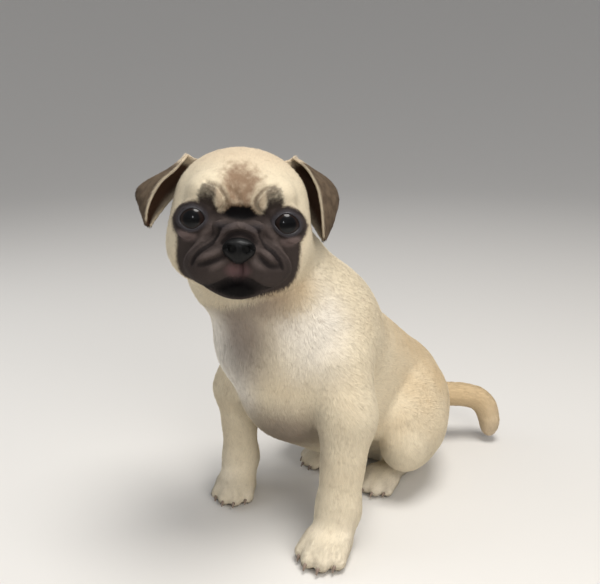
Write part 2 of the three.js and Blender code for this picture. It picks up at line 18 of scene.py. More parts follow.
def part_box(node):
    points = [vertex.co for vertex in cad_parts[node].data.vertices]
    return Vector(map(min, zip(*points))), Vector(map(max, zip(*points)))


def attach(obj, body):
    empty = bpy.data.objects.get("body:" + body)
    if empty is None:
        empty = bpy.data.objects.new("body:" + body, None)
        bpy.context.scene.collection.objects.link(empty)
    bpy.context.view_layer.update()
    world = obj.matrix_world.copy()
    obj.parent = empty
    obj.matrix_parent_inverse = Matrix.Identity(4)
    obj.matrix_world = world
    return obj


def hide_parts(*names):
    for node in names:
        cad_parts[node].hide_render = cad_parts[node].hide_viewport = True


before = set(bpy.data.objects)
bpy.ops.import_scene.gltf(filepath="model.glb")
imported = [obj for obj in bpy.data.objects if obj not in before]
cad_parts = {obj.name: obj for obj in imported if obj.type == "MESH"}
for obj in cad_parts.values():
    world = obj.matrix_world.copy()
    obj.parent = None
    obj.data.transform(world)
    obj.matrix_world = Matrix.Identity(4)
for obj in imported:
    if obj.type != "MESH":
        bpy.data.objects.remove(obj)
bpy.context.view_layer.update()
MM = 0.001  # one millimetre in the scene's metres


def deselect_all():
    for item in bpy.context.selected_objects:
        item.select_set(False)


def select_only(item):
    """Selects one object and makes it the active one."""
    deselect_all()
    item.select_set(True)
    bpy.context.view_layer.objects.active = item


deselect_all()

# %% [markdown]
# ## Finding the puppy in the frame
#
# The head is turned on the neck, so everything on the face is easiest to place in the head's own axes:
# x to the puppy's left, -y out through the nose, z up. Two numbers tie the head to the body: where its
# middle is and how it is turned. The left eye of the CAD model then tells how far the frame's origin
# lies from the puppy's own, so nothing has to be fitted by eye.

# %% Head axes and the way into the frame
HEAD_PLACE = np.array([-6.0, -80.0, 204.0])
HEAD_YAW, HEAD_PITCH, HEAD_ROLL = 46.0, -13.0, 4.0
EYE = np.array([24.6, -28.0, -0.4])
EYE_RADIUS = 8.8
NOSE = np.array([0.5, -45.0, -14.6])


def turned(x=0.0, y=0.0, z=0.0, order="XYZ"):
    """A turn by three angles in degrees, as a 3 x 3 array. `order` says which axis comes first."""
    angles = {"X": x, "Y": y, "Z": z}
    first, second, third = [Matrix.Rotation(math.radians(angles[axis]), 3, axis) for axis in order]
    return np.array(first @ second @ third)


HEAD_TURN = turned(x=HEAD_PITCH, y=HEAD_ROLL, z=HEAD_YAW, order="ZXY")


def from_head(points):
    """Points in the head's axes, told in the puppy's."""
    return np.asarray(points, float) @ HEAD_TURN.T + HEAD_PLACE


def into_head(points):
    """Points in the puppy's axes, told in the head's."""
    return (np.asarray(points, float) - HEAD_PLACE) @ HEAD_TURN


eye_low, eye_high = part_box("eye_left")
SHIFT = np.array((eye_low + eye_high) / 2) / MM - from_head(EYE)


def to_frame(points):
    """Millimetres in the puppy's axes to metres in the frame."""
    return (np.asarray(points, float) + SHIFT) * MM


def from_frame(points):
    """Metres in the frame to millimetres in the puppy's axes."""
    return np.asarray(points, float) / MM - SHIFT


print("origin of the puppy's axes in the frame, mm:", np.round(SHIFT, 2))

# %% [markdown]
# ## Forms
#
# An animal is a set of rounded masses that run into one another: skull, cheeks, ribs, thighs. Each mass
# is written here as a form that can answer one question, how far a point lies outside it. Forms can be
# blended with a soft fillet, or taken out of one another with a soft edge, which gives flesh its look.
# The same forms also place the block-out spheres that the skin is first made from.


# %% Balls and limbs
def to_line(points, a, b):
    """Where along the straight line from `a` to `b` points are nearest to it, 0 to 1, and how far off."""
    along = b - a
    t = np.clip((points - a) @ along / (along @ along), 0, 1)
    return t, np.linalg.norm(points - a - t[:, None] * along, axis=1)


class Ball:
    """A ball with three half axes, turned as wanted."""

    def __init__(self, centre, half, turn=(0, 0, 0)):
        self.centre, self.half = np.array(centre, float), np.array(half, float)
        self.turn = turned(*turn)

    def outside(self, points):
        q = (points - self.centre) @ self.turn
        a = np.linalg.norm(q / self.half, axis=1)
        b = np.linalg.norm(q / self.half**2, axis=1)
        return a * (a - 1) / np.maximum(b, 1e-9)

    def masses(self):
        yield "ball", self.centre, self.half, self.turn


class Limb:
    """A limb from one point to another, round at both ends, whose radius runs from one value to the other."""

    def __init__(self, start, end, start_radius, end_radius=None):
        self.start, self.end = np.array(start, float), np.array(end, float)
        self.radii = start_radius, start_radius if end_radius is None else end_radius

    def outside(self, points):
        t, gap = to_line(points, self.start, self.end)
        return gap - (self.radii[0] + (self.radii[1] - self.radii[0]) * t)

    def masses(self):
        yield "limb", self.start, self.end, self.radii


# %% Joining forms
def soft_step(a, b, soft):
    """What a fillet `soft` wide adds where two distances are alike."""
    h = np.maximum(soft - np.abs(a - b), 0) / soft
    return h * h * soft / 4


def mass_box(form):
    """Lowest and highest corner of a form's masses."""
    low, high = [], []
    for kind, a, b, c in form.masses():
        if kind == "ball":
            wide = np.sqrt(((c * b) ** 2).sum(1))
            low.append(a - wide)
            high.append(a + wide)
        else:
            low.append(np.minimum(a, b) - max(c))
            high.append(np.maximum(a, b) + max(c))
    return (np.min(low, 0), np.max(high, 0)) if low else None


class Blend:
    """Forms joined with a fillet about `soft` millimetres wide."""

    SPARE = 8.0  # a mass farther off than this and the fillet is left out, which saves most of the time

    def __init__(self, soft, *forms):
        self.soft, self.forms = soft, forms
        self.boxes = [mass_box(form) for form in forms]

    def outside(self, points):
        d = self.forms[0].outside(points)
        for form, box in zip(self.forms[1:], self.boxes[1:]):
            near = slice(None)
            if box:
                margin = self.soft + self.SPARE
                near = np.all((points > box[0] - margin) & (points < box[1] + margin), axis=1)
                if not near.any():
                    continue
            e = form.outside(points[near])
            d[near] = np.minimum(d[near], e) - soft_step(d[near], e, self.soft)
        return d

    def masses(self):
        for form in self.forms:
            yield from form.masses()


class Hollow:
    """A form with others taken out of it."""

    def __init__(self, soft, form, *taken):
        self.soft, self.form, self.taken = soft, form, taken

    def outside(self, points):
        d = self.form.outside(points)
        for form in self.taken:
            e = -form.outside(points)
            d = np.maximum(d, e) + soft_step(d, e, self.soft)
        return d

    def masses(self):
        yield from self.form.masses()


def flip_of(points):
    """(-1, 1, 1) for each point of the right half, (1, 1, 1) for the others."""
    return np.where(points[:, :1] < 0, -1.0, 1.0) ** np.array([1, 0, 0])


def other_side(points):
    """Mirrors the points of the right half to the left half."""
    return points * flip_of(points)


class BothSides:
    """A form of the left half, mirrored to the right half."""

    def __init__(self, form):
        self.form = form

    def outside(self, points):
        return self.form.outside(other_side(points))

    def masses(self):
        flip = np.array([-1.0, 1.0, 1.0])
        for kind, a, b, c in self.form.masses():
            yield kind, a, b, c
            if kind == "ball":
                yield kind, a * flip, b, np.diag(flip) @ c @ np.diag(flip)
            else:
                yield kind, a * flip, b * flip, c


class OnHead:
    """A form given in the head's axes, placed on the body."""

    def __init__(self, form):
        self.form = form

    def outside(self, points):
        return self.form.outside(into_head(points))

    def masses(self):
        for kind, a, b, c in self.form.masses():
            if kind == "ball":
                yield kind, from_head(a), b, HEAD_TURN @ c
            else:
                yield kind, from_head(a), from_head(b), c


# %% [markdown]
# ## The main masses
#
# These are the CAD model's own sizes, so the skin can lie just inside the solids. The head has a round
# skull, full cheeks and a short muzzle made of two hanging flews, a bridge with a roll of skin over the
# nose, and a chin. The trunk leans back: the chest is high, the rump is on the floor.

# %% Head masses
skull = Ball((0, 6, 11), (40, 41, 34))
cheeks = BothSides(Ball((20, -3, -13), (22.5, 26, 23)))
flews = BothSides(Ball((13.5, -28.5, -23), (15.5, 17, 14), (0, 0, -16)))
bridge = Ball((0, -33, -12), (14, 13, 10))
nose_roll = Ball((0, -37.5, -4), (13, 7.5, 4.5))
chin = Ball((0, -27.5, -34), (15, 14.5, 9))
brows = BothSides(Ball((16, -25, 15), (14, 12, 11), (0, 0, -16)))
lid_mounds = BothSides(Ball(EYE, (12, 10.8, 10.8)))
stop_hollow = Ball((0, -42, 4), (14, 7, 3.2))
under_lid = Limb((20, -38.6, -6.4), (27, -33.2, -13.6), 2, 2.6)
over_flew = Limb((27, -33.2, -13.6), (35.4, -21, -25), 2.6, 2.8)
cheek_crease = BothSides(Blend(2, under_lid, over_flew))

muzzle = Blend(5, Blend(6, flews, bridge, chin), nose_roll)
head_mass = Blend(4, Blend(7, Blend(14, skull, cheeks), brows, muzzle), lid_mounds)
plain_head = Hollow(5, head_mass, stop_hollow, cheek_crease)

# %% A smooth line
def smooth_line(points, count=12):
    """Points along a smooth curve through the given ones."""
    p = np.array(points, float)
    p = np.vstack([2 * p[0] - p[1], p, 2 * p[-1] - p[-2]])
    line = []
    for t in np.linspace(0, len(p) - 3, count):
        i = min(int(t), len(p) - 4)
        u = t - i
        a, b, c, d = p[i : i + 4]
        steep, bend = 2 * a - 5 * b + 4 * c - d, 3 * b - a - 3 * c + d
        line.append(0.5 * (2 * b + (c - a) * u + steep * u**2 + bend * u**3))
    return np.array(line)


# %% Trunk, neck and tail masses
WITHERS, NAPE = (-3, -27, 128), (-16, -62, 176)
TAIL_PATH = [
    (2, 96, 44), (14, 112, 40), (26, 128, 38), (37, 138, 35), (44, 142, 28), (48, 142, 18), (49, 141, 10),
]
TAIL_RADII = [12, 10.5, 10, 9.6, 9.2, 8, 6]

joints = smooth_line(np.column_stack([TAIL_PATH, TAIL_RADII]), 16)
tail = Blend(3, *[Limb(a[:3], b[:3], a[3], b[3]) for a, b in zip(joints, joints[1:])])

trunk = Blend(
    16,
    Ball((-3, -26, 118), (42, 48, 54), (-30, 0, 0)),
    Ball((-8, -52, 122), (38, 38, 34), (-14, 0, 0)),
    Limb((-2, -18, 120), (0, 62, 62), 42, 40),
    Ball((-6, -30, 85), (37, 40, 37)),
    Ball((0, 4, 68), (38, 44, 40)),
    Ball((0, 66, 43.5), (44, 42, 46)),
)
neck = Limb(WITHERS, NAPE, 46, 41)

# %% Legs and paws
TOE_SPREAD = [-11.2, -4.1, 4.1, 11.2]  # each toe's place across the paw
TOE_REACH = [30, 36, 36, 30]  # and how far its tip lies ahead of the wrist
HIND_REACH, HIND_SIZE = 34, 0.92  # a hind paw: how far it lies ahead of the hock, and its size


def ahead(origin, aim, forward, up=0.0, aside=0.0):
    """A place ahead of another. `aim` is the way ahead, in degrees from straight forward."""
    a = math.radians(aim)
    step = (forward * math.sin(a) + aside * math.cos(a), -forward * math.cos(a) + aside * math.sin(a), up)
    return np.array(origin, float) + step


def paw(wrist, aim, size):
    """A palm and four toes, `size` times the usual ones."""
    heel = (wrist[0], wrist[1], 0)
    palm = Ball(ahead(heel, aim, 14 * size, 8 * size), np.array([13.5, 17, 10]) * size, (0, 0, aim))
    toes = []
    for aside, reach in zip(TOE_SPREAD, TOE_REACH):
        knuckle = ahead(heel, aim, 15 * size, 10 * size, aside * 0.8 * size)
        tip = ahead(heel, aim, (reach - 6) * size, 5.4 * size, aside * size)
        toes.append(Limb(knuckle, tip, 5.6 * size, 5.3 * size))
    return Blend(5, palm, Blend(2.2, *toes))


def foreleg(shoulder, elbow, wrist, aim, thick):
    arm = Blend(10, Limb(shoulder, elbow, 23, 17 * thick), Limb(elbow, wrist, 16.5 * thick, 13 * thick))
    pastern = Limb(wrist, ahead((wrist[0], wrist[1], 10), aim, 9), 13 * thick, 12)
    return Blend(9, arm, Blend(6, pastern, paw(wrist, aim, thick)))


def hindleg(hip, knee, hock, aim):
    hip, knee = np.array(hip, float), np.array(knee, float)
    thigh = Ball(hip + (knee - hip) * 0.42, (22, 41, 34), (26, 0, math.copysign(12, hip[0])))
    stifle = Limb(hip + (knee - hip) * 0.6, knee, 21, 14)
    foot = Limb(hock, ahead(hock, aim, 44), 9.4, 8.8)
    toes = paw(ahead(hock, aim, HIND_REACH), aim, HIND_SIZE)
    lower = Blend(6, Limb(knee, hock, 12, 9), Blend(6, foot, toes))
    return Blend(10, Blend(12, thigh, stifle), lower)


FORE = {
    "left": dict(shoulder=(32, -34, 112), elbow=(45, -41, 84), wrist=(47, -51, 25), aim=14, thick=1.06),
    "right": dict(shoulder=(-36, -38, 112), elbow=(-47, -47, 80), wrist=(-50, -43, 24), aim=30, thick=0.95),
}
HIND = {
    "left": dict(hip=(32, 68, 60), knee=(46, 22, 38), hock=(24, 70, 8), aim=4),
    "right": dict(hip=(-32, 68, 60), knee=(-46, 22, 38), hock=(-24, 70, 8), aim=-4),
}
legs = [*(foreleg(**leg) for leg in FORE.values()), *(hindleg(**leg) for leg in HIND.values())]
body = Blend(9, Blend(14, trunk, neck), *legs, tail)
plain_puppy = Blend(10, OnHead(plain_head), body)
print("masses in the puppy:", sum(1 for _ in plain_puppy.masses()))

# %% [markdown]
# ## Folds of the face
#
# A pug's face is soft skin that lies in folds over a short skull. A fold is a ridge of skin, and beside it
# runs a crease. Each is drawn as a stroke: a few points on the face, joined by a smooth line, with a
# radius that fades to both ends. A sculptor would draw them with a brush. Here ridges are blended on to
# the head and creases are taken out of it, so they can be moved or made deeper by changing one number.


# %% Strokes
def slope(form, points, step=0.12):
    """How a form's distance grows along x, y and z."""
    found = np.empty_like(points)
    for axis in range(3):
        side = np.zeros(3)
        side[axis] = step
        found[:, axis] = form.outside(points + side) - form.outside(points - side)
    return found / (2 * step)


def laid_on(form, line, height):
    """Moves the points of a line up or down until they lie `height` above a form."""
    for _ in range(5):
        uphill = slope(form, line)
        line = line + uphill * ((height - form.outside(line)) / (uphill**2).sum(1))[:, None]
    return line


class Stroke:
    """A smooth line over the head, with a radius that fades towards its ends."""

    REACH = 12.0  # farther away than this, the stroke just says that it is far
    JOINTS = 22

    def __init__(self, points, radius, height, on=None):
        line = smooth_line(points, self.JOINTS)
        self.line = laid_on(on, line, height) if on else line
        self.radii = radius * np.sin(np.linspace(0.12, 0.88, self.JOINTS) * math.pi) ** 0.6

    def outside(self, points):
        far = np.full(len(points), self.REACH)
        low, high = self.line.min(0) - self.REACH, self.line.max(0) + self.REACH
        near = np.all((points > low) & (points < high), axis=1)
        q = points[near]
        if not len(q):
            return far
        best = np.full(len(q), self.REACH)
        for a, b, ra, rb in zip(self.line, self.line[1:], self.radii, self.radii[1:]):
            t, gap = to_line(q, a, b)
            best = np.minimum(best, gap - ra - (rb - ra) * t)
        far[near] = best
        return far

    def masses(self):
        return iter(())


def ridge(radius, rise, *points):
    """A ridge of skin that stands `rise` millimetres proud of the head."""
    return Stroke(points, radius, rise - radius, plain_head)


def crease(radius, depth, *points):
    """A furrow that goes `depth` millimetres into the head."""
    return Stroke(points, radius, radius - depth, plain_head)


# %% Ridges
ridges = [
    # over each eye, from the brow down to the stop
    BothSides(ridge(2.6, 1.6, (18, -36.6, 17.8), (13.4, -37, 15.6), (10.9, -36.4, 11.7), (10.4, -35.2, 8),
                    (12.4, -34.2, 5.2))),
    # from the bridge past the eye and round the cheek
    BothSides(ridge(3.0, 1.7, (6.4, -36.2, 1.4), (10, -36.6, 0.2), (14.6, -37, -3.2), (18.8, -36.2, -7),
                    (22.3, -34.6, -11.6), (25.6, -32.4, -16.4), (28.2, -29.4, -21.4), (30.4, -24.8, -26.4))),
    # the bag under each eye
    BothSides(ridge(2.0, 0.7, (20.6, -35.4, -8.6), (25, -34, -11.4), (30, -31.4, -11.4), (34.2, -27.6, -8.2),
                    (36.6, -23.6, -3.6))),
    # the roll over the nose
    ridge(2.4, 1.4, (-11.6, -41.6, -12), (-9.4, -42.4, -7.4), (-4.8, -44, -4.2), (0.5, -44.4, -3.1),
          (5.8, -43.8, -4.2), (10.2, -42.2, -7.2), (12.4, -41, -11.6)),
    # two on each flew
    ridge(2.2, 0.9, (-21, -42.4, -21.4), (-15.5, -44, -19.5), (-10.7, -43.6, -16.9), (-7.6, -43.6, -16.6)),
    ridge(2.2, 1.0, (-5.8, -43.4, -20.6), (-9.8, -44.6, -23.4), (-14, -44.4, -26.2)),
    ridge(2.2, 0.9, (8.6, -43.6, -17), (12, -43.2, -16.1), (15.6, -43.2, -17.6), (18, -43.4, -20)),
    ridge(2.2, 1.0, (6.6, -43.6, -20), (10.2, -44.6, -22.9), (14.6, -44.4, -25)),
]

# %% Creases
creases = [
    # the curl round each brow, and the dip beside it
    BothSides(crease(1.0, 1.2, (18.5, -36.6, 20.2), (12.8, -37.2, 18), (9.4, -37.2, 14.2), (7.5, -36.6, 10.6),
                     (7.8, -35.6, 7.4), (10.6, -34.9, 4.6), (14.4, -35, 3.4))),
    BothSides(crease(2.4, 0.9, (19.6, -38.6, 13), (19, -37.8, 9), (16, -36.8, 5.4))),
    # from the bridge down beside the flew
    BothSides(crease(1.3, 1.5, (4.6, -42.4, -0.8), (9.4, -42, -3.6), (12.8, -40.4, -8), (15.2, -40.8, -12.2),
                     (19.2, -41.4, -15.6), (22.8, -41, -19.8), (25, -39.6, -24))),
    # below and above the lids
    BothSides(crease(0.9, 0.8, (18.6, -37.6, -4.6), (22.8, -37.6, -8.2), (28, -36.6, -9), (33, -33.6, -6.6),
                     (35.4, -30, -2.6))),
    BothSides(crease(1.0, 0.9, (15.4, -37, 1), (18.6, -37.6, 6.4), (25, -36.8, 9.2), (31.6, -33.6, 8),
                     (36, -28.4, 3.4))),
    # between the roll and the nose
    crease(1.2, 1.5, (-9.4, -44.2, -11.6), (-6, -45.4, -8.6), (0.4, -46.4, -6.7), (6.8, -45.2, -8.4),
           (10.2, -43.6, -11)),
    # two lines on the forehead
    crease(1.0, 0.7, (-3.6, -34.6, 21), (-2.8, -36, 16), (-1.4, -36.2, 11.8), (-0.2, -35.4, 8)),
    crease(0.9, 0.5, (-6.4, -34.6, 20.4), (-5.6, -36, 17), (-4.4, -36.2, 13.2)),
    # from the nose to the lips, and one on each flew
    crease(1.1, 1.4, (0.4, -41.6, -20), (0.5, -41.4, -24), (0.6, -41.8, -28), (0.7, -42.4, -32)),
    crease(1.2, 1.2, (-7, -45, -18.6), (-10.9, -45.9, -21), (-15.8, -45.8, -23), (-21, -43.4, -24.6)),
    crease(1.2, 1.2, (10.6, -45, -17.2), (14, -45.9, -20.6), (17.7, -45.3, -22.9), (22.6, -42.4, -23.4)),
    # the closed mouth
    crease(1.9, 2.3, (-20.6, -31, -38.4), (-14.6, -35.6, -37.4), (-9.2, -39.6, -35), (-4, -42, -32.4),
           (0.6, -42.6, -31.2), (5.2, -42, -32), (10.2, -39.4, -34.2), (16, -35, -36.4), (22, -30, -37)),
]

# %% [markdown]
# The lids leave an almond-shaped gap in front of each eyeball. Seen from the middle of the eye, a place on
# the skin is told by how far out it lies from the line of sight: 0 is the middle of the gap, 1 is its rim.
# Lids hug the ball. So the skin is drawn in to a lid's thickness over it around the gap, and inside the
# rim it dips under the ball, which then shows through a clean opening.

# %% The gap between the lids
LOOKS_ASIDE = 9.0  # degrees that each eye looks away from straight ahead
GAP_WIDTH, GAP_HEIGHT = 7.0, 5.8  # half the size of the gap, in millimetres
GAP_RAISED, GAP_SLANT = 0.3, 0.06  # its middle lies a little high, and its outer corner a little low
LID_THICKNESS = 1.0
UNDER_BALL = 1.4  # how far the skin inside the gap dips under the eyeball's surface
GAP_SQUARE = 0.5  # how far its outline is drawn from a round one towards a square one
GAP_ARCS = EYE_RADIUS * np.arcsin(np.array([GAP_WIDTH, GAP_HEIGHT]) / EYE_RADIUS)
EYE_TURN = turned(z=LOOKS_ASIDE)


def fade(value, low, high):
    """0 up to `low`, 1 from `high`, with a soft change between them."""
    t = np.clip((value - low) / (high - low), 0, 1)
    return t * t * (3 - 2 * t)


def eye_view(points):
    """How far out from the line of sight points of the head lie, and their distance from the eye's middle."""
    q = (other_side(points) - EYE) @ EYE_TURN
    distance = np.linalg.norm(q, axis=1)
    off = np.arccos(np.clip(-q[:, 1] / distance, -1, 1))
    flat = np.maximum(np.hypot(q[:, 0], q[:, 2]), 1e-6)
    x = EYE_RADIUS * off * q[:, 0] / flat / GAP_ARCS[0]
    z = (EYE_RADIUS * off * q[:, 2] / flat - GAP_RAISED) / GAP_ARCS[1] + GAP_SLANT * x
    return np.sqrt(x**2 + z**2 + GAP_SQUARE * x**2 * z**2), distance


def seat_lids(points):
    """Draws the skin round the eyes to the lids' place over the eyeball."""
    out, distance = eye_view(points)
    place = EYE_RADIUS - UNDER_BALL + (UNDER_BALL + LID_THICKNESS) * fade(out, 0.84, 1.08)
    share = (1 - fade(out, 1.1, 1.6)) * (1 - fade(distance, 11.0, 14.5))
    middle = EYE * flip_of(points)
    return middle + (points - middle) * (1 + (place / distance - 1) * share)[:, None]


folded_head = Hollow(1.7, Blend(2.6, plain_head, *ridges), *creases)
puppy = Blend(10, OnHead(folded_head), body)
print("strokes on the face:", len(ridges) + len(creases))

# %% [markdown]
# ## Blocking out the skin
#
# A sculptor starts from rough balls of clay. Each mass becomes a sphere, or two spheres and a cone for a
# limb, added at its size and place. They are joined, and a voxel remesh melts them into one closed mesh
# of even squares, which is the best ground for the folds to come.


# %% Primitives for one mass
BLOCK_SIDES = 20


def add_ball(centre, half, turn):
    bpy.ops.mesh.primitive_uv_sphere_add(
        segments=BLOCK_SIDES, ring_count=12, radius=1, location=to_frame(centre),
        rotation=Matrix(turn.tolist()).to_euler(), scale=np.array(half) * MM)
    return bpy.context.active_object


def add_limb(start, end, radii):
    made = [add_ball(start, [radii[0]] * 3, np.eye(3)), add_ball(end, [radii[1]] * 3, np.eye(3))]
    a, b = Vector(to_frame(start)), Vector(to_frame(end))
    bpy.ops.mesh.primitive_cone_add(
        vertices=BLOCK_SIDES, radius1=radii[0] * MM, radius2=radii[1] * MM, depth=(b - a).length,
        location=(a + b) / 2, rotation=(b - a).to_track_quat("Z", "Y").to_euler())
    return [*made, bpy.context.active_object]


def apply_modifier(item, kind, **settings):
    """Adds a modifier to an object and applies it."""
    select_only(item)
    modifier = item.modifiers.new(kind.title(), kind)
    for name, value in settings.items():
        setattr(modifier, name, value)
    bpy.ops.object.modifier_apply(modifier=modifier.name)


def joined(items, name):
    """Makes one object of several."""
    deselect_all()
    for item in items:
        item.select_set(True)
    bpy.context.view_layer.objects.active = items[0]
    bpy.ops.object.join()
    bpy.ops.object.transform_apply(location=True, rotation=True, scale=True)
    made = bpy.context.active_object
    made.name = made.data.name = name
    return made


# %% Block out and melt
COARSE, EVEN = 4.5 * MM, 2.4 * MM  # edges of the squares after the first and the second melting
blocks = []
for kind, a, b, c in plain_puppy.masses():
    blocks += [add_ball(a, b, c)] if kind == "ball" else add_limb(a, b, c)
skin = joined(blocks, "skin")
apply_modifier(skin, "REMESH", mode="VOXEL", voxel_size=COARSE)
print("block-out:", len(blocks), "primitives,", len(skin.data.polygons), "faces")

# %% [markdown]
# ## Settling the skin on the forms
#
# Every corner of the mesh slides along the steepest way until it lies on the blended form, a little
# inside it, because the coat still has to fit between the skin and the CAD model's outline. The coat is
# thinnest on the face and feet. The first pass is coarse; a second remesh evens the squares out again.


# %% Depth of the coat
NECK_MIDDLE, NECK_UP = np.array([-17.0, -62.0, 168.0]), np.array([-0.12, -0.36, 0.92])
NECK_SOFT = 5  # millimetres of the neck's length in which head turns into body
FLOOR_GAP = 0.15  # millimetres between the skin and the floor


def head_share(points):
    """1 on the head, 0 on the body, with a soft change across the upper neck."""
    away = (points - NECK_MIDDLE) @ NECK_UP
    return 1 / (1 + np.exp(-away / NECK_SOFT))


def coat_depth(points):
    """How far the skin lies inside the form: 1.5 mm on the body, less on head, muzzle and feet."""
    q = into_head(points)
    muzzle_share = head_share(points) / (1 + np.exp((q[:, 1] + 14) / 4))
    foot_share = 1 / (1 + np.exp((points[:, 2] - 22) / 4))
    depth = 1.5 - 0.5 * head_share(points) - 0.45 * muzzle_share
    return depth * (1 - foot_share) + 0.7 * foot_share


# %% Reading and writing a mesh
def values_of(items, name, width=1, kind=float):
    """One property of all corners, faces or the like, as an array with a row for each."""
    values = np.empty(len(items) * width, kind)
    items.foreach_get(name, values)
    return values.reshape(-1, width) if width > 1 else values


def corners(item):
    return values_of(item.data.vertices, "co", 3)


def move_corners(item, place):
    item.data.vertices.foreach_set("co", np.ascontiguousarray(place, dtype=np.float32).ravel())
    item.data.update()


def add_share(item, name, values):
    layer = item.data.attributes.new(name, "FLOAT", "POINT")
    layer.data.foreach_set("value", np.ascontiguousarray(values, dtype=np.float32))


def add_vector(item, name, values):
    layer = item.data.attributes.new(name, "FLOAT_VECTOR", "POINT")
    layer.data.foreach_set("vector", np.ascontiguousarray(values, dtype=np.float32).ravel())


def read_share(item, name):
    return values_of(item.data.attributes[name].data, "value", kind=np.float32)


# %% Settling
FLATTEST = 0.15  # squared slope below which a form is taken to be this steep, so that no step is too long


def settle(item, form, rounds, reach, bare=False):
    """Slides the corners of a mesh on to a form, or to the coat's depth inside it, and over the floor."""
    points = from_frame(corners(item))
    for _ in range(rounds):
        uphill = slope(form, points, 0.05 if bare else 0.12)
        steep = np.maximum((uphill**2).sum(1), FLATTEST)
        depth = 0 if bare else coat_depth(points)
        move = uphill * (-(form.outside(points) + depth) / steep)[:, None]
        length = np.linalg.norm(move, axis=1, keepdims=True)
        points += move * np.minimum(1, reach / np.maximum(length, 1e-9))
    points[:, 2] = np.maximum(points[:, 2], FLOOR_GAP)
    move_corners(item, to_frame(points))


# %% Coarse skin, then an even one
settle(skin, plain_puppy, rounds=5, reach=4.0)
apply_modifier(skin, "REMESH", mode="VOXEL", voxel_size=EVEN)
settle(skin, plain_puppy, rounds=3, reach=2.0)
apply_modifier(skin, "SMOOTH", factor=0.5, iterations=3)
settle(skin, plain_puppy, rounds=2, reach=1.0)
print("even skin:", len(skin.data.polygons), "faces")

# %% [markdown]
# ## Finer squares where the puppy has finer forms
#
# Two squares a hand's breadth apart need not be the same size. The face carries lids, folds and lips and
# gets squares of about half a millimetre; the rest of the head and the paws get half-size ones, and the
# trunk keeps its own.


# %% Refine
def choose_faces(item, wanted):
    """Opens a mesh for editing, with the wanted faces selected."""
    select_only(item)
    bpy.ops.object.mode_set(mode="EDIT")
    bpy.ops.mesh.select_mode(type="FACE")
    bpy.ops.mesh.select_all(action="DESELECT")
    bpy.ops.object.mode_set(mode="OBJECT")
    item.data.polygons.foreach_set("select", wanted)
    bpy.ops.object.mode_set(mode="EDIT")


def face_middles(item):
    return from_frame(values_of(item.data.polygons, "center", 3))


def subdivide_where(item, wanted):
    choose_faces(item, wanted)
    bpy.ops.mesh.subdivide(number_cuts=1)
    bpy.ops.object.mode_set(mode="OBJECT")


def faces_out(item, merge=0.0):
    """Turns all faces of a closed mesh outwards. Corners less than `merge` apart become one first."""
    select_only(item)
    bpy.ops.object.mode_set(mode="EDIT")
    bpy.ops.mesh.select_all(action="SELECT")
    if merge:
        bpy.ops.mesh.remove_doubles(threshold=merge)
    bpy.ops.mesh.normals_make_consistent(inside=False)
    bpy.ops.object.mode_set(mode="OBJECT")


middle = face_middles(skin)
subdivide_where(skin, (into_head(middle)[:, 2] > -48) & (head_share(middle) > 0.5) | (middle[:, 2] < 21))
middle = face_middles(skin)
q = into_head(middle)
subdivide_where(skin, (head_share(middle) > 0.5) & (q[:, 1] < -14) & (q[:, 2] < 30) & (q[:, 2] > -44))
print("refined skin:", len(skin.data.polygons), "faces")

# %% Let the folds in
for soft_form, rounds, reach in ((plain_puppy, 2, 1.0), (puppy, 5, 0.8)):
    settle(skin, soft_form, rounds, reach)
apply_modifier(skin, "SMOOTH", factor=0.5, iterations=3)
points = from_frame(corners(skin))
near_eyes = (head_share(points) > 0.5) & (into_head(points)[:, 1] < -8)
points[near_eyes] = from_head(seat_lids(into_head(points[near_eyes])))
move_corners(skin, to_frame(points))
print("corners on the face:", int(near_eyes.sum()))

# %% [markdown]
# ## Ears
#
# A pug's button ear is a thin leaf of skin. It rises from its root on the side of the skull, folds over
# and hangs forward. Three smooth lines draw it: the root, the fold and the free edge. The leaf is spanned
# between them with a round bend at the fold, then given a thickness.

# %% Ear lines, in the head's axes
EAR_LINES = {
    "left": (
        [(24, 10, 39), (29, 15, 30), (34, 17, 17), (41, 13, 5), (47, 5, -4.5), (48.6, 1, -7.2)],
        [(29, 15, 41.6), (40, 21, 36.6), (53, 22, 29), (58, 19, 19.4), (55.4, 11, 6), (50, 2, -6.8)],
        [(28.4, 4, 40.6), (36.6, -1, 34), (42.8, -4, 23.6), (45.8, -5, 12), (47.4, -5.4, 1),
         (48.4, -3.6, -5.6)],
    ),
    "right": (
        [(-26.6, 10, 36.6), (-31, 15, 29), (-36, 17, 20), (-43, 13, 11), (-49, 5, 1), (-51.8, 1, -4.4)],
        [(-33, 15, 39.6), (-44, 21, 31), (-58.4, 22, 22), (-63, 19, 15.4), (-59.4, 11, 6.4),
         (-54.2, 2, -4.4)],
        [(-33, 4, 37.8), (-38.4, -1, 29.2), (-45.8, -4, 21.2), (-50.4, -5, 12.8), (-53.2, -5.4, 4.4),
         (-53.8, -3.4, -1.4)],
    ),
}
SIDES = {"left": 1, "right": -1}
EAR_THICKNESS = 1.3
EAR_ROWS, EAR_COLUMNS = 40, 34
HIND_LEAF, FLAP = round(EAR_COLUMNS * 0.25), round(EAR_COLUMNS * 0.75)  # columns halfway over each side


def ear_surface(side):
    """A grid of points over the leaf: rows from skull to tip, columns from the root to the free edge."""
    root, fold, edge = [smooth_line(line, EAR_ROWS + 1) for line in EAR_LINES[side]]
    hind = (root + fold) / 2 + [0, 3, 0]
    front = (fold + edge) / 2 + [0, -2, 0]
    rows = [smooth_line(five, EAR_COLUMNS + 1) for five in zip(root, hind, fold, front, edge)]
    return from_head(np.array(rows).reshape(-1, 3)).reshape(EAR_ROWS + 1, EAR_COLUMNS + 1, 3)


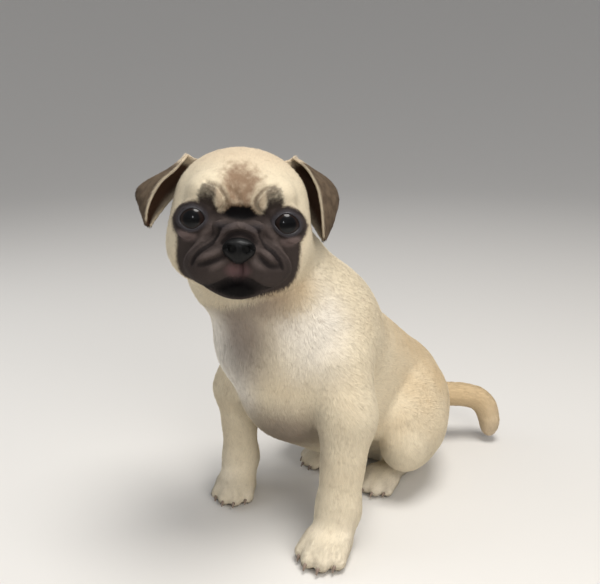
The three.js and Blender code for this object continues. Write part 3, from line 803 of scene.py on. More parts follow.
ears = {}
for side in SIDES:
    deselect_all()
    bpy.ops.mesh.primitive_grid_add(x_subdivisions=EAR_COLUMNS, y_subdivisions=EAR_ROWS, size=1)
    leaf = bpy.context.active_object
    leaf.name = leaf.data.name = "ear_" + side + "_leaf"
    flat = corners(leaf)
    surface = ear_surface(side)
    row = np.rint((flat[:, 1] + 0.5) * EAR_ROWS).astype(int)
    column = np.rint((flat[:, 0] + 0.5) * EAR_COLUMNS).astype(int)
    move_corners(leaf, to_frame(surface[row, column]))
    add_share(leaf, "run", row / EAR_ROWS)
    add_share(leaf, "across", column / EAR_COLUMNS)
    add_vector(leaf, "lie", np.gradient(surface, axis=0)[row, column])
    count = len(flat)
    apply_modifier(leaf, "SOLIDIFY", thickness=EAR_THICKNESS * MM, offset=0, use_rim=True)
    # The flap hangs over the hind leaf, so its inner side is the one nearer to the hind leaf.
    shells = from_frame(corners(leaf))
    through = shells[count:] - shells[:count]
    flap = column == FLAP
    to_hind = (surface[:, HIND_LEAF] - surface[:, FLAP])[row[flap]]
    second_is_inner = float((through[flap] * to_hind).sum()) > 0
    add_share(leaf, "inner", np.repeat([not second_is_inner, second_is_inner], count))
    apply_modifier(leaf, "SMOOTH", factor=0.5, iterations=2)
    faces_out(leaf)
    ears[side] = leaf
    print("ear", side, len(leaf.data.polygons), "faces")

# %% [markdown]
# ## Eyes
#
# Each eye is a full ball behind its gap, dark brown and wet. The lids end in a bare, dark rim that runs
# round the gap and touches the ball. The same outline that shapes the gap gives the rim its line, laid on
# the ball's surface.


# %% A tube along a line
def tube(name, line, radii, closed=False):
    """A tube along points given in the puppy's axes, with a radius in millimetres for each."""
    deselect_all()
    bpy.ops.curve.primitive_nurbs_path_add()
    item = bpy.context.active_object
    item.name = name
    curve = item.data
    curve.splines.clear()
    spline = curve.splines.new("POLY")
    spline.points.add(len(line) - 1)
    for point, place, radius in zip(spline.points, to_frame(line), radii):
        point.co = (*place, 1)
        point.radius = radius
    spline.use_cyclic_u = closed
    curve.dimensions = "3D"
    curve.bevel_depth = MM
    curve.bevel_resolution = 2
    curve.use_fill_caps = True
    bpy.ops.object.convert(target="MESH")
    faces_out(item, merge=0.01 * MM)
    bpy.ops.object.shade_smooth()
    item.data.name = name
    return item


# %% Eyeballs
def eye_place(flip):
    """The middle of an eye in the frame, and the turn that lays its own z along the line of sight."""
    look = HEAD_TURN @ turned(z=flip * LOOKS_ASIDE) @ np.array([0, -1, 0])
    return Vector(to_frame(from_head(EYE * [flip, 1, 1]))), Vector(look).to_track_quat("Z", "Y").to_euler()


eyes = {}
for side, flip in SIDES.items():
    place, turn = eye_place(flip)
    deselect_all()
    bpy.ops.mesh.primitive_uv_sphere_add(segments=56, ring_count=36, radius=EYE_RADIUS * MM, location=place,
                                         rotation=turn)
    bpy.ops.object.transform_apply(location=True, rotation=True, scale=True)
    bpy.ops.object.shade_smooth()
    eyes[side] = bpy.context.active_object
    eyes[side].name = eyes[side].data.name = "eyeball_" + side
print("eyes:", len(eyes), "radius, mm:", EYE_RADIUS)

# %% Lid rims
angle = np.linspace(0, 2 * math.pi, 72, endpoint=False)
bulge = (1 + GAP_SQUARE * np.cos(angle) ** 2 * np.sin(angle) ** 2) ** -0.5
arc_x = np.cos(angle) * bulge * GAP_ARCS[0]
arc_z = (np.sin(angle) * bulge - GAP_SLANT * np.cos(angle) * bulge) * GAP_ARCS[1] + GAP_RAISED
off = np.hypot(arc_x, arc_z) / EYE_RADIUS
ways = np.stack([
    arc_x / EYE_RADIUS * np.sin(off) / off, -np.cos(off), arc_z / EYE_RADIUS * np.sin(off) / off], 1)
rim_line = EYE + (ways @ EYE_TURN.T) * (EYE_RADIUS + 0.2)
rim_radii = 0.5 + 0.1 * np.sin(angle * 5 + 1)
rims = [tube("lid_rim_" + side, from_head(rim_line * [flip, 1, 1]), rim_radii, closed=True)
        for side, flip in SIDES.items()]
print("lid rims:", len(rims))

# %% [markdown]
# ## Nose
#
# The nose leather is bare, black and wet. Its nostrils are commas that open forward and curl outwards,
# and a fine groove runs down its middle to the lip. It is blocked out of balls, melted and settled on its
# own form, as the skin was.

# %% Nose form
nostril = Blend(0.6, Ball((3.7, -5.4, -0.7), (2.0, 3.4, 1.7)),
                Stroke([(3.9, -5.4, -0.4), (6, -4.4, 0.5), (7.3, -2.2, -0.7)], 1.1, 0))
nose_groove = Stroke([(0, -6.3, 1.5), (0, -6.4, -2), (0, -5.2, -7.5)], 0.55, 0)
nose_mass = Blend(3, Ball((0, 0, 0), (8.0, 5.9, 5.6)), Ball((0, 0.5, -3.2), (5.2, 4.9, 5.2)),
                  BothSides(Ball((5.6, -1.2, -0.8), (2.6, 3.2, 3.4))))


class Moved:
    """A form moved to a place on the head."""

    def __init__(self, form, place):
        self.form, self.place = form, np.array(place, float)

    def outside(self, points):
        return self.form.outside(points - self.place)

    def masses(self):
        for kind, a, b, c in self.form.masses():
            yield kind, a + self.place, b, c


nose_form = OnHead(Moved(Hollow(0.8, nose_mass, BothSides(nostril), nose_groove), NOSE))

# %% Nose leather
nose = joined([add_ball(a, b, c) for kind, a, b, c in nose_form.masses()], "nose_leather")
apply_modifier(nose, "REMESH", mode="VOXEL", voxel_size=0.45 * MM)
settle(nose, nose_form, rounds=6, reach=0.5, bare=True)
apply_modifier(nose, "SMOOTH", factor=0.4, iterations=1)
settle(nose, nose_form, rounds=1, reach=0.2, bare=True)
select_only(nose)
bpy.ops.object.shade_smooth()
print("nose:", len(nose.data.polygons), "faces")

# %% [markdown]
# ## Claws
#
# A puppy's claws are short, grey-brown horn, curved down a little, one out of each toe. Each is a tube
# through four places about the end of its toe, thinner towards the tip. The four of a paw are one piece.

# %% Claws of the four paws
paws = {"foreclaws_" + side: (leg["wrist"], leg["aim"], leg["thick"]) for side, leg in FORE.items()}
for side, leg in HIND.items():
    paws["hindclaws_" + side] = ahead(leg["hock"], leg["aim"], HIND_REACH), leg["aim"], HIND_SIZE
CLAW_LINE = [(-4.5, 5.4), (-1.2, 4.9), (0.2, 3.9), (1.0, 2.5)]  # how far past the toe's tip, and how high
CLAW_RADII = np.linspace(1.5, 0.42, 9)

claws = {}
for name, (wrist, aim, size) in paws.items():
    heel = (wrist[0], wrist[1], 0)
    four = []
    for aside, reach in zip(TOE_SPREAD, TOE_REACH):
        line = [ahead(heel, aim, (reach + past) * size, up * size, aside * size) for past, up in CLAW_LINE]
        four.append(tube("claw", smooth_line(line, len(CLAW_RADII)), CLAW_RADII * size))
    claws[name] = joined(four, name)
print("claws:", 4 * len(claws))

# %% [markdown]
# ## Markings
#
# A fawn pug is cream to apricot with a black mask, dark ears and a smudge on the forehead. Some shares are
# painted light instead: painted shade in the creases and the stop, under the jaw, on throat and chest under
# the head and on the belly between the forelegs, and a painted highlight on the ridges in the mask. The
# markings belong to places on the body, so one function tells them for any set of points. The skin keeps
# them at its corners and a tuft takes them from under its root, which is why skin and coat always agree.
# The shader turns the shares into colour and roughens their borders with noise.

# %% Outline of the mask, on the face seen from the front
MASK_OUTLINE = np.array([
    (0, 8.0), (5, 7.8), (8.6, 4.2), (12.4, 3.4), (15, 6), (20, 8.6), (26, 9.4), (31.5, 8), (36, 4.4),
    (38, 0.4), (36.6, -5), (33.6, -9.6), (33.8, -16), (34, -23), (32.4, -28.4), (30, -34), (25, -40),
    (14, -45), (0, -46.5),
], float)
MASK_OUTLINE = np.vstack([MASK_OUTLINE, (MASK_OUTLINE * [-1, 1])[::-1]])


def inside_outline(x, z, outline):
    """How far points lie inside a closed outline; outside it the number is negative."""
    nearest = np.full(len(x), np.inf)
    within = np.zeros(len(x), bool)
    for (ax, az), (bx, bz) in zip(outline, np.roll(outline, -1, 0)):
        length = max((bx - ax) ** 2 + (bz - az) ** 2, 1e-9)
        t = np.clip(((x - ax) * (bx - ax) + (z - az) * (bz - az)) / length, 0, 1)
        nearest = np.minimum(nearest, np.hypot(x - ax - t * (bx - ax), z - az - t * (bz - az)))
        if az != bz:
            crossing = (az > z) != (bz > z)
            within ^= crossing & (x < (bx - ax) * (z - az) / (bz - az) + ax)
    return np.where(within, nearest, -nearest)


def spot(points, centre, half):
    """1 in the middle of a round spot, 0 outside it."""
    gap = np.linalg.norm((points - np.array(centre, float)) / half, axis=1)
    return 1 - fade(gap, 0.15, 1)


# %% Markings of a place
def near_line(points, line, reach):
    """How near points lie to a line of joints, 1 to 0, and the way along the line there."""
    best = np.full(len(points), 1e9)
    way = np.zeros_like(points)
    line = np.array(line, float)
    for a, b in zip(line, line[1:]):
        _, gap = to_line(points, a, b)
        nearer = gap < best
        best[nearer] = gap[nearer]
        way[nearer] = (b - a) / np.linalg.norm(b - a)
    return 1 - fade(best, reach * 0.7, reach * 1.4), way


BROW_LINE = [(14.5, -34.7, 1.5), (17.8, -35.5, 5.6), (18.6, -36.3, 10.4), (17.6, -37, 15)]


def markings(points):
    """Shares of each marking, from 0 to 1, for points in the puppy's axes."""
    q = into_head(points)
    on_head = fade(head_share(points), 0.35, 0.75)
    out, _ = eye_view(q)
    front = 1 - fade(q[:, 1], -13, -7)
    mask = fade(inside_outline(q[:, 0], q[:, 2], MASK_OUTLINE), -2.2, 2.2) * front
    brow, _ = near_line(other_side(q), BROW_LINE, 4.6)
    folds = np.zeros(len(points))
    face = (on_head > 0.5) & (q[:, 1] < -10)
    folds[face] = folded_head.outside(q[face]) - plain_head.outside(q[face])
    smudge = 0.8 * spot(q, (-0.5, -31, 25), (20, 15, 16)) + 0.8 * spot(q, (-0.5, -35, 12), (17, 12, 20))
    low = 1 - fade(points[:, 2], 4, 60)
    chest = spot(points, (-20, -92, 112), (44, 46, 76))
    side_neck = spot(points, (36, -66, 148), (36, 52, 64))
    # Painted shadow under the jaw: it adds to the painted shade of the underside, takes the pale out and
    # warms the colour there.
    jaw_shade = spot(points, (26, -76, 168), (34, 36, 24))
    back = fade(points[:, 1], -20, 60) * fade(points[:, 2], 20, 90)
    on_tail, _ = near_line(points, TAIL_PATH, 17)
    # Painted shade: the shade that the head casts on throat and chest, and the shade on the belly between the
    # forelegs, in lilac grey.
    thin = np.maximum.reduce([
        0.95 * spot(points, (4, -82, 164), (42, 44, 34)),
        0.95 * spot(points, (2, -92, 143), (28, 42, 50)),
        0.9 * spot(points, (8, -60, 66), (46, 46, 40)),
        0.28 * jaw_shade,
    ])
    pale = 0.3 * low + (chest + 0.7 * side_neck) * (1 - on_head)
    warm = 0.22 + 0.4 * back + 0.6 * on_tail - 0.1 * low + 0.4 * jaw_shade
    return {
        "mask": np.maximum(mask, 1 - fade(out, 1.08, 1.36)) * on_head,
        "brow": brow * front * on_head * (1 - 0.45 * fade(q[:, 2], 6, 17)),
        # Painted shade in the creases, darker where a fold goes deeper.
        "crease": np.clip(folds / 1.1, 0, 1),
        # How far a fold stands proud; in the mask the shader paints a highlight on it.
        "ridge": np.clip(-folds / 1.1, 0, 1) * on_head,
        "smudge": np.clip(smudge, 0, 1) * on_head,
        # Painted shade in the hollow of the stop between the eyes.
        "stop": np.clip(1.6 * spot(q, (0, -35.5, 4.6), (17, 10, 7)), 0, 1) * on_head,
        "thin": thin * (1 - on_head),
        "pale": np.clip(pale, 0, 1) * (1 - jaw_shade),
        "warm": np.clip(warm, 0, 1) * (1 - 0.25 * on_head),
        "crown": fade(q[:, 2], 22, 40) * on_head,
        "lid": (1 - fade(out, 1.02, 1.3)) * on_head,
        "bag": np.clip(spot(other_side(q), (29, -31, -9.5), (9, 8, 4.6)) * 1.5, 0, 1) * on_head,
        "lips": spot(q, (0.5, -42, -26), (9.5, 8, 6)) * on_head,
        "mouth": spot(q, (0.6, -40, -37), (22, 13, 8.5)) * on_head,
    }


# %% [markdown]
# ## Shader expressions
#
# A shader is a chain of simple steps. These two classes let the steps be written as plain expressions:
# values can be added, subtracted, multiplied and mixed like numbers, and each step becomes a node.


# %% Values and graphs
class Value:
    """One output of a node, which can stand in an expression."""

    def __init__(self, graph, socket):
        self.graph, self.socket = graph, socket

    def step(self, operation, a, b):
        return self.graph.node("ShaderNodeMath", {"operation": operation}, {0: a, 1: b})

    def __add__(self, other):
        return self.step("ADD", self, other)

    def __sub__(self, other):
        return self.step("SUBTRACT", self, other)

    def __rsub__(self, other):
        return self.step("SUBTRACT", other, self)

    def __mul__(self, other):
        return self.step("MULTIPLY", self, other)

    __radd__, __rmul__ = __add__, __mul__

    def ramp(self, low, high):
        """0 up to `low`, 1 from `high`."""
        return self.graph.node("ShaderNodeMapRange", {"interpolation_type": "SMOOTHSTEP"},
                               {"Value": self, "From Min": low, "From Max": high})

    def pick(self, a, b):
        """Colour `a` where this value is 0, `b` where it is 1."""
        return self.graph.node("ShaderNodeMix", {"data_type": "RGBA"}, {0: self, 6: a, 7: b}, 2)


class Graph:
    """A material's nodes."""

    def __init__(self, name):
        self.material = bpy.data.materials.new(name)
        self.material.use_nodes = True
        self.tree = self.material.node_tree
        self.surface = self.tree.nodes["Principled BSDF"]

    def feed(self, socket, value):
        if isinstance(value, Value):
            self.tree.links.new(value.socket, socket)
        elif socket.type == "RGBA" and len(value) == 3:
            socket.default_value = (*value, 1)
        else:
            socket.default_value = value

    def node(self, kind, settings=None, values=None, output=0):
        """Any node: its settings first, then its values or links, then the output that is wanted."""
        made = self.tree.nodes.new(kind)
        for name, value in (settings or {}).items():
            setattr(made, name, value)
        for name, value in (values or {}).items():
            self.feed(made.inputs[name], value)
        return Value(self, made.outputs[output])

    def share(self, name):
        """A share that the mesh keeps for its corners."""
        return self.node("ShaderNodeAttribute", {"attribute_name": name}, output=2)

    def place(self):
        return self.node("ShaderNodeTexCoord", output=3)

    def noise(self, size_mm, detail=2.0):
        """Noise whose lumps are about `size_mm` across, from 0 to 1."""
        values = {"Vector": self.place(), "Scale": 1 / (size_mm * MM), "Detail": detail}
        return self.node("ShaderNodeTexNoise", {}, values)

    def bump(self, height, strength, rise_mm):
        """A surface that stands up to `rise_mm` proud where `height` is 1."""
        values = {"Strength": strength, "Distance": rise_mm * MM, "Height": height}
        return self.node("ShaderNodeBump", {}, values)

    def finish(self, **inputs):
        """Feeds the inputs of the surface and gives the finished material."""
        for name, value in inputs.items():
            self.feed(self.surface.inputs[name.replace("_", " ")], value)
        return self.material


def srgb(*colour):
    """A colour as a picture shows it, 0 to 255, as the linear colour that a shader takes."""
    return tuple(((c / 255 + 0.055) / 1.055) ** 2.4 if c > 10 else c / 255 / 12.92 for c in colour)


# %% Colours of the puppy
CREAM, APRICOT = srgb(217, 204, 178), srgb(205, 180, 142)
SILVER, CROWN, SMUDGE = srgb(229, 222, 210), srgb(202, 184, 158), srgb(134, 109, 87)
# The next two are painted shade: brown in the creases and the stop, lilac grey under the head and between the
# forelegs.
FOLD_SHADE_BROWN, SHADE_LILAC = srgb(92, 72, 54), srgb(108, 96, 90)
EAR_OUTSIDE, EAR_DARK, EAR_INSIDE = srgb(118, 102, 84), srgb(84, 71, 59), srgb(92, 68, 53)
# The second is a painted highlight for the ridges in the mask.
MASK_EDGE, MASK_RIDGE_HIGHLIGHT, MASK_MID = srgb(100, 80, 62), srgb(93, 82, 78), srgb(61, 53, 50)
# The first is painted shade for the creases in the mask.
MASK_CREASE_SHADE, MASK_DEEP = srgb(33, 28, 27), srgb(9, 7, 7)
BROW_DARK, BAG = srgb(48, 41, 37), srgb(112, 97, 94)
LID_GREY, LIP_PINK = srgb(58, 55, 58), srgb(108, 82, 82)


def coat_graph(name, hair):
    """Material of skin or coat. `hair` says that it is for tufts, which vary from one to the next."""
    g = Graph(name)
    wide, fine = g.noise(22, 3), g.noise(2.4, 3)
    rough_edge = (g.noise(1.5, 3) - 0.5) * 0.9
    colour = (g.share("warm") + (wide - 0.5) * 0.5).ramp(0.1, 0.9).pick(CREAM, APRICOT)
    colour = (g.share("pale") + (wide - 0.5) * 0.4).ramp(0.05, 0.95).pick(colour, SILVER)
    # Painted shade on throat, chest and belly.
    colour = (g.share("thin") * 0.85).pick(colour, SHADE_LILAC)
    colour = (g.share("crown") * 0.85).pick(colour, CROWN)
    broken = (g.noise(4.5, 3) - 0.5) * 1.5 + (fine - 0.5) * 0.5
    colour = ((g.share("smudge") + broken * 0.8).ramp(0.0, 1.1) * 0.95).pick(colour, SMUDGE)
    colour = (g.share("ridge") * 0.5).pick(colour, SMUDGE)
    # Painted shade in the stop, brown outside the mask.
    colour = (g.share("stop") * 0.75 + broken * 0.25).ramp(0, 1).pick(colour, FOLD_SHADE_BROWN)
    # Painted shade in the creases, brown outside the mask.
    colour = ((g.share("crease") + (fine - 0.5) * 0.3).ramp(0.3, 1.0) * 0.7).pick(colour, FOLD_SHADE_BROWN)
    ear_tone = (g.noise(5, 3) * 1.6 - 0.3).ramp(0, 1).pick(EAR_DARK, EAR_OUTSIDE)
    colour = ((g.share("ear") + rough_edge * 0.3).ramp(0.05, 0.7)).pick(colour, ear_tone)
    colour = (g.share("ear") * g.share("inner")).ramp(0.1, 0.6).pick(colour, EAR_INSIDE)
    colour = (g.share("edge") * 0.55).pick(colour, CREAM)
    tone = (g.noise(5, 3) - 0.5) * 0.5
    # Painted shade in the creases of the mask.
    dark = (g.share("crease") * 1.1 + tone).ramp(0.1, 1.1).pick(MASK_MID, MASK_CREASE_SHADE)
    # Painted highlight on the ridges of the mask.
    dark = ((g.share("ridge") + tone).ramp(0.1, 1.3) * 0.75).pick(dark, MASK_RIDGE_HIGHLIGHT)
    dark = (g.share("bag") * 0.85).pick(dark, BAG)
    # Painted shade in the stop, black in the mask.
    dark = (g.share("stop") * 1.2 - 0.2).ramp(0, 1).pick(dark, MASK_DEEP)
    dark = (g.share("lips") * 0.8).pick(dark, LIP_PINK)
    dark = (g.share("mouth") + tone * 0.4).ramp(0.0, 0.9).pick(dark, MASK_DEEP)
    dark = (g.share("lid") * 0.9).pick(dark, LID_GREY)
    colour = ((g.share("mask") + rough_edge * 0.5).ramp(0.02, 0.5) * 0.5).pick(colour, MASK_EDGE)
    colour = ((g.share("brow") + rough_edge * 0.45).ramp(0.05, 0.9)).pick(colour, BROW_DARK)
    colour = (g.share("mask") + rough_edge * 0.5).ramp(0.3, 0.8).pick(colour, dark)
    if hair:
        shade = g.share("strand") * 0.13 + g.share("tip") * 0.10 + 0.87
        grey = g.node("ShaderNodeCombineColor", {}, {0: shade, 1: shade, 2: shade})
        colour = g.node("ShaderNodeMix", {"data_type": "RGBA", "blend_type": "MULTIPLY"},
                        {0: 1.0, 6: colour, 7: grey}, 2)
    else:
        g.finish(Normal=g.bump(g.noise(0.7), 0.5, 0.4))
    return g.finish(Base_Color=colour, Roughness=0.7, Specular_IOR_Level=0.12)


skin_look = coat_graph("fawn_coat", hair=False)
skin_look.diffuse_color = (*CREAM, 1)

# %% Shares of every corner of skin and ears
for item in (skin, *ears.values()):
    for name, values in markings(from_frame(corners(item))).items():
        add_share(item, name, values)
none = np.zeros(len(skin.data.vertices))
for name in ("ear", "inner", "edge"):
    add_share(skin, name, none)
for leaf in ears.values():
    run, across, inner = [read_share(leaf, name) for name in ("run", "across", "inner")]
    add_share(leaf, "ear", fade(run, 0.03, 0.22) * (0.3 + 0.7 * fade(across, 0.02, 0.3)))
    add_share(leaf, "edge", fade(across, 0.95, 1.0) * fade(run, 0.05, 0.2))

# %% [markdown]
# ## The lie of the coat
#
# Fur grows away from the nose: up and back over the skull, out over the cheeks, down the neck, along the
# back to the rump, down the chest and the legs, and along the tail. Each corner of the skin keeps the way
# its fur lies and how long it is, and the tufts read both.


# %% Way and length of the fur
MUZZLE_FRONT = [0, -46, -9]  # the fur of the head grows away from here


def unit(vectors):
    return vectors / np.maximum(np.linalg.norm(vectors, axis=1, keepdims=True), 1e-9)


def coat_lie(points):
    """The way that fur lies, for points in the puppy's axes."""
    chest = 1 - fade(points[:, 1], -70, -35)
    rump = fade(points[:, 1], 60, 100)
    way = np.stack([0 * chest, 0.95 - 0.9 * chest - 0.75 * rump, -0.35 - 0.6 * chest - 0.7 * rump], 1)
    pull, along = near_line(points, [NAPE, WITHERS], 46)
    way = way * (1 - 0.8 * pull * (1 - chest))[:, None] + along * (0.8 * pull * (1 - chest))[:, None]
    for side in SIDES:
        leg = FORE[side]
        pull, along = near_line(points, [leg["shoulder"], leg["elbow"], leg["wrist"]], 20)
        way += (along * [1, 0.6, 1] + [0, 0.25, 0]) * 2.2 * pull[:, None]
        toes = ahead((leg["wrist"][0], leg["wrist"][1], 6), leg["aim"], 34)
        pull, along = near_line(points, [leg["wrist"], ahead(leg["wrist"], leg["aim"], 8, -14), toes], 17)
        way += along * 5 * pull[:, None]
        leg = HIND[side]
        pull = spot(points, leg["knee"], 44)[:, None]
        way = way * (1 - pull) + np.array([0, 0.2, -1.6]) * pull
        pull, along = near_line(points, [leg["hock"], ahead(leg["hock"], leg["aim"], 66)], 13)
        way += along * 5 * pull[:, None]
    pull, along = near_line(points, TAIL_PATH, 15)
    way += along * 8 * pull[:, None]
    q = into_head(points)
    from_eye = unit(other_side(q) - EYE) * spot(other_side(q), EYE, 17)[:, None] * flip_of(q)
    away = unit(q - MUZZLE_FRONT) + from_eye * 0.8
    away += np.stack([0 * chest, 0.5 + 0 * chest, -0.9 * fade(-q[:, 2], 0, 34)], 1)
    share = head_share(points)[:, None]
    return unit(unit(way) * (1 - share) + unit(away) @ HEAD_TURN.T * share)


def coat_length(points):
    """How long fur is, in millimetres."""
    q = into_head(points)
    on_head = head_share(points)
    legs_low = 1 - fade(points[:, 2], 24, 70)
    length = 4.6 - 1.4 * legs_low + 1.0 * spot(points, (0, -70, 130), 60)
    length = length * (1 - on_head) + on_head * (3.3 - 1.9 * (1 - fade(q[:, 1], -26, 2)))
    pull, _ = near_line(points, TAIL_PATH, 15)
    length += 0.8 * pull
    paws = 1 - fade(points[:, 2], 9, 24)
    return length * (1 - paws) + 2.3 * paws


for item in (skin, *ears.values()):
    points = from_frame(corners(item))
    if item is skin:
        add_vector(item, "lie", coat_lie(points))
        add_share(item, "length", coat_length(points))
    else:
        add_share(item, "length", 2.4 - 0.9 * read_share(item, "inner"))
    print("fur on", item.name, "is up to", round(float(read_share(item, "length").max()), 1), "mm long")

# %% [markdown]
# ## Finish of the bare pieces
#
# The eye is dark brown with a black pupil under a clear, wet cornea. Its pattern is centred on the line of
# sight by a Mapping node. The lids' rims and the nose are bare skin: dark, grained and a little wet. The
# claws are grey-brown horn with a dull shine.

# %% Eye
PUPIL, IRIS = (4.2, 5.0), (6.0, 6.9)  # how far from the line of sight each begins and ends to fade, in mm

for side, ball in eyes.items():
    g = Graph("eye_" + side)
    place, turn = eye_place(SIDES[side])
    values = {"Vector": g.place(), "Location": place, "Rotation": turn, "Scale": (MM, MM, MM)}
    own = g.node("ShaderNodeMapping", {"vector_type": "TEXTURE"}, values)
    flat = g.node("ShaderNodeVectorMath", {"operation": "MULTIPLY"}, {0: own, 1: (1, 1, 0)})
    off = g.node("ShaderNodeVectorMath", {"operation": "LENGTH"}, {0: flat}, 1)
    rays = g.node("ShaderNodeTexNoise", {}, {"Vector": own, "Scale": 1.4, "Detail": 3.0})
    iris = (rays * 0.9).pick(srgb(12, 8, 7), srgb(36, 21, 14))
    colour = off.ramp(*PUPIL).pick(srgb(3, 3, 4), iris)
    colour = off.ramp(*IRIS).pick(colour, srgb(13, 10, 10))
    ball.data.materials.append(g.finish(Base_Color=colour, Roughness=0.3, Specular_IOR_Level=0.1,
                                        Coat_Weight=0.55, Coat_Roughness=0.02, Coat_IOR=1.38))

# %% Lid rims
g = Graph("lid_rim")
lid_colour = g.noise(1.8).pick(srgb(24, 22, 24), srgb(52, 49, 53))
lid_look = g.finish(Base_Color=lid_colour, Roughness=0.45, Coat_Weight=0.15, Coat_Roughness=0.3,
                    Normal=g.bump(g.noise(0.5), 0.4, 0.1))
for rim in rims:
    rim.data.materials.append(lid_look)

# %% Nose leather with its grain
g = Graph("nose_leather")
grain = g.node("ShaderNodeTexVoronoi", {}, {"Vector": g.place(), "Scale": 1 / (0.62 * MM)})
holes = OnHead(Moved(BothSides(nostril), NOSE))
# hole marks the nostrils; the shader paints them near-black, as painted shade in the holes, and rougher.
add_share(nose, "hole", 1 - fade(holes.outside(from_frame(corners(nose))), 0.1, 0.7))
leather = g.noise(3).pick(srgb(4, 4, 4), srgb(13, 12, 12))
nose.data.materials.append(g.finish(
    Base_Color=g.share("hole").pick(leather, srgb(2, 2, 2)), Roughness=0.5 + g.share("hole") * 0.4,
    Specular_IOR_Level=0.16, Coat_Weight=0.12, Coat_Roughness=0.22, Normal=g.bump(grain, 0.75, 0.16)))

# %% Claw horn
g = Graph("claw_horn")
horn = g.noise(3).pick(srgb(150, 132, 116), srgb(104, 88, 78))
claw_look = g.finish(Base_Color=horn, Roughness=0.38, Coat_Weight=0.2)
for item in claws.values():
    item.data.materials.append(claw_look)
print("materials:", len(bpy.data.materials))

# %% Put the pieces in the frame
FLESH = [
    "head", "ear_left", "ear_right", "neck", "torso", "tail", "foreleg_left", "foreleg_right", "forepaw_left",
    "forepaw_right", "hindleg_left", "hindleg_right", "hindpaw_left", "hindpaw_right",
]
skin = joined([skin, *ears.values()], "skin")
skin.data.materials.append(skin_look)
select_only(skin)
bpy.ops.object.shade_smooth()
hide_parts(*FLESH)
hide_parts("eye_left")
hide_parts("eye_right")
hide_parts("nose")
for item in (skin, nose, *eyes.values(), *rims, *claws.values()):
    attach(item, "root")
print("skin with both ears:", len(skin.data.polygons), "faces, in the place of", len(FLESH), "solids")

# %% [markdown]
# ## Coat
#
# A puppy's coat is short, soft and dense. It is built of solid tufts: each is a thin, flat spike that
# leaves the skin at a low angle, lies along the body and ends in a point. On the trunk and the upper legs,
# tufts with a bend halfway lie over many more straight ones. Head, ears and paws, where fur is only a few
# millimetres long, have straight ones alone. The roots are spread at random over the skin, denser on the
# face, and each tuft takes its way, length and markings from the skin under its root.
#
# Flat shading would make such a coat look like straw. So the tufts' normals are mostly those of the skin
# below, and the coat catches light as one soft surface with a grain in it.

# %% What the skin tells about every spot
random = np.random.default_rng(11)
choose_faces(skin, np.ones(len(skin.data.polygons), bool))
bpy.ops.uv.smart_project(angle_limit=math.radians(75), island_margin=0.002)
bpy.ops.object.mode_set(mode="OBJECT")
mesh = skin.data
mesh.uv_layers[0].name = "OFBake"
mesh.calc_loop_triangles()
tri_corners = values_of(mesh.loop_triangles, "vertices", 3, np.int32)
tri_loops = values_of(mesh.loop_triangles, "loops", 3, np.int32)
skin_uv = values_of(mesh.uv_layers["OFBake"].data, "uv", 2, np.float32)
skin_normal = values_of(mesh.vertices, "normal", 3, np.float32)
skin_lie = values_of(mesh.attributes["lie"].data, "vector", 3, np.float32)
skin_points = from_frame(corners(skin))
SHARES = [
    "mask", "brow", "crease", "ridge", "smudge", "stop", "thin", "pale", "warm", "crown", "lid", "bag",
    "lips", "mouth", "ear", "inner", "edge",
]
skin_shares = {name: read_share(skin, name) for name in (*SHARES, "length")}
three = skin_points[tri_corners]
tri_area = np.linalg.norm(np.cross(three[:, 1] - three[:, 0], three[:, 2] - three[:, 0]), axis=1) / 2
tri_middle = three.mean(1)
print("skin area, mm2:", round(float(tri_area.sum())), "triangles:", len(tri_area))

# %% Where tufts grow, and how many
middle_q = into_head(tri_middle)
tri_out, _ = eye_view(middle_q)
on_head = head_share(tri_middle)
tri_ear = skin_shares["ear"][tri_corners].mean(1) + skin_shares["inner"][tri_corners].mean(1)
bare = (on_head > 0.5) & (tri_out < 1.05)  # inside the lids
bare |= (nose_form.outside(tri_middle) < 0.5) | (tri_middle[:, 2] < 0.8)  # by the nose, and on the floor
small = (on_head > 0.5) | (tri_ear > 0.02) | (tri_middle[:, 2] < 16)
long_weight = tri_area * ~small * ~bare
denser = 1.6 * (1 - fade(middle_q[:, 1], -26, -6)) * (on_head > 0.5)
small_weight = tri_area * small * ~bare * (1 + denser)
COATS = {  # where the tufts of each coat grow, how many, whether they bend, how they lift, how wide they are
    "coat_body": (long_weight, 44000, True, 0.10, 0.22),
    "coat_under": (long_weight, 140000, False, 0.09, 0.25),
    "coat_fine": (small_weight, 112000, False, 0.22, 0.27),
}


def roots(weight, number):
    """Random places on the skin, with all that the skin tells there."""
    chosen = random.choice(len(weight), number, p=weight / weight.sum())
    a, b = random.random(number), random.random(number)
    over = a + b > 1
    a[over], b[over] = 1 - a[over], 1 - b[over]
    parts = np.stack([1 - a - b, a, b], 1)
    at = tri_corners[chosen]

    def read(values):
        return (values[at] * (parts if values.ndim == 1 else parts[:, :, None])).sum(1)

    told = {name: read(values) for name, values in skin_shares.items()}
    told["uv"] = (skin_uv[tri_loops[chosen]] * parts[:, :, None]).sum(1)
    return read(skin_points), unit(read(skin_normal)), unit(read(skin_lie)), told


# %% Tufts
ROOT_DEPTH = 0.25  # millimetres that a tuft's root lies under the skin
TUFT_FLOOR = 0.05  # and no tuft comes nearer to the floor than this


def sway(points, size, seed):
    """Slow, smooth changes over the body, from -1 to 1, which gather tufts into locks."""
    turn = np.random.default_rng(seed).normal(size=(5, 3))
    return np.sin(points @ turn.T / size + np.arange(5)).mean(1) * 1.6


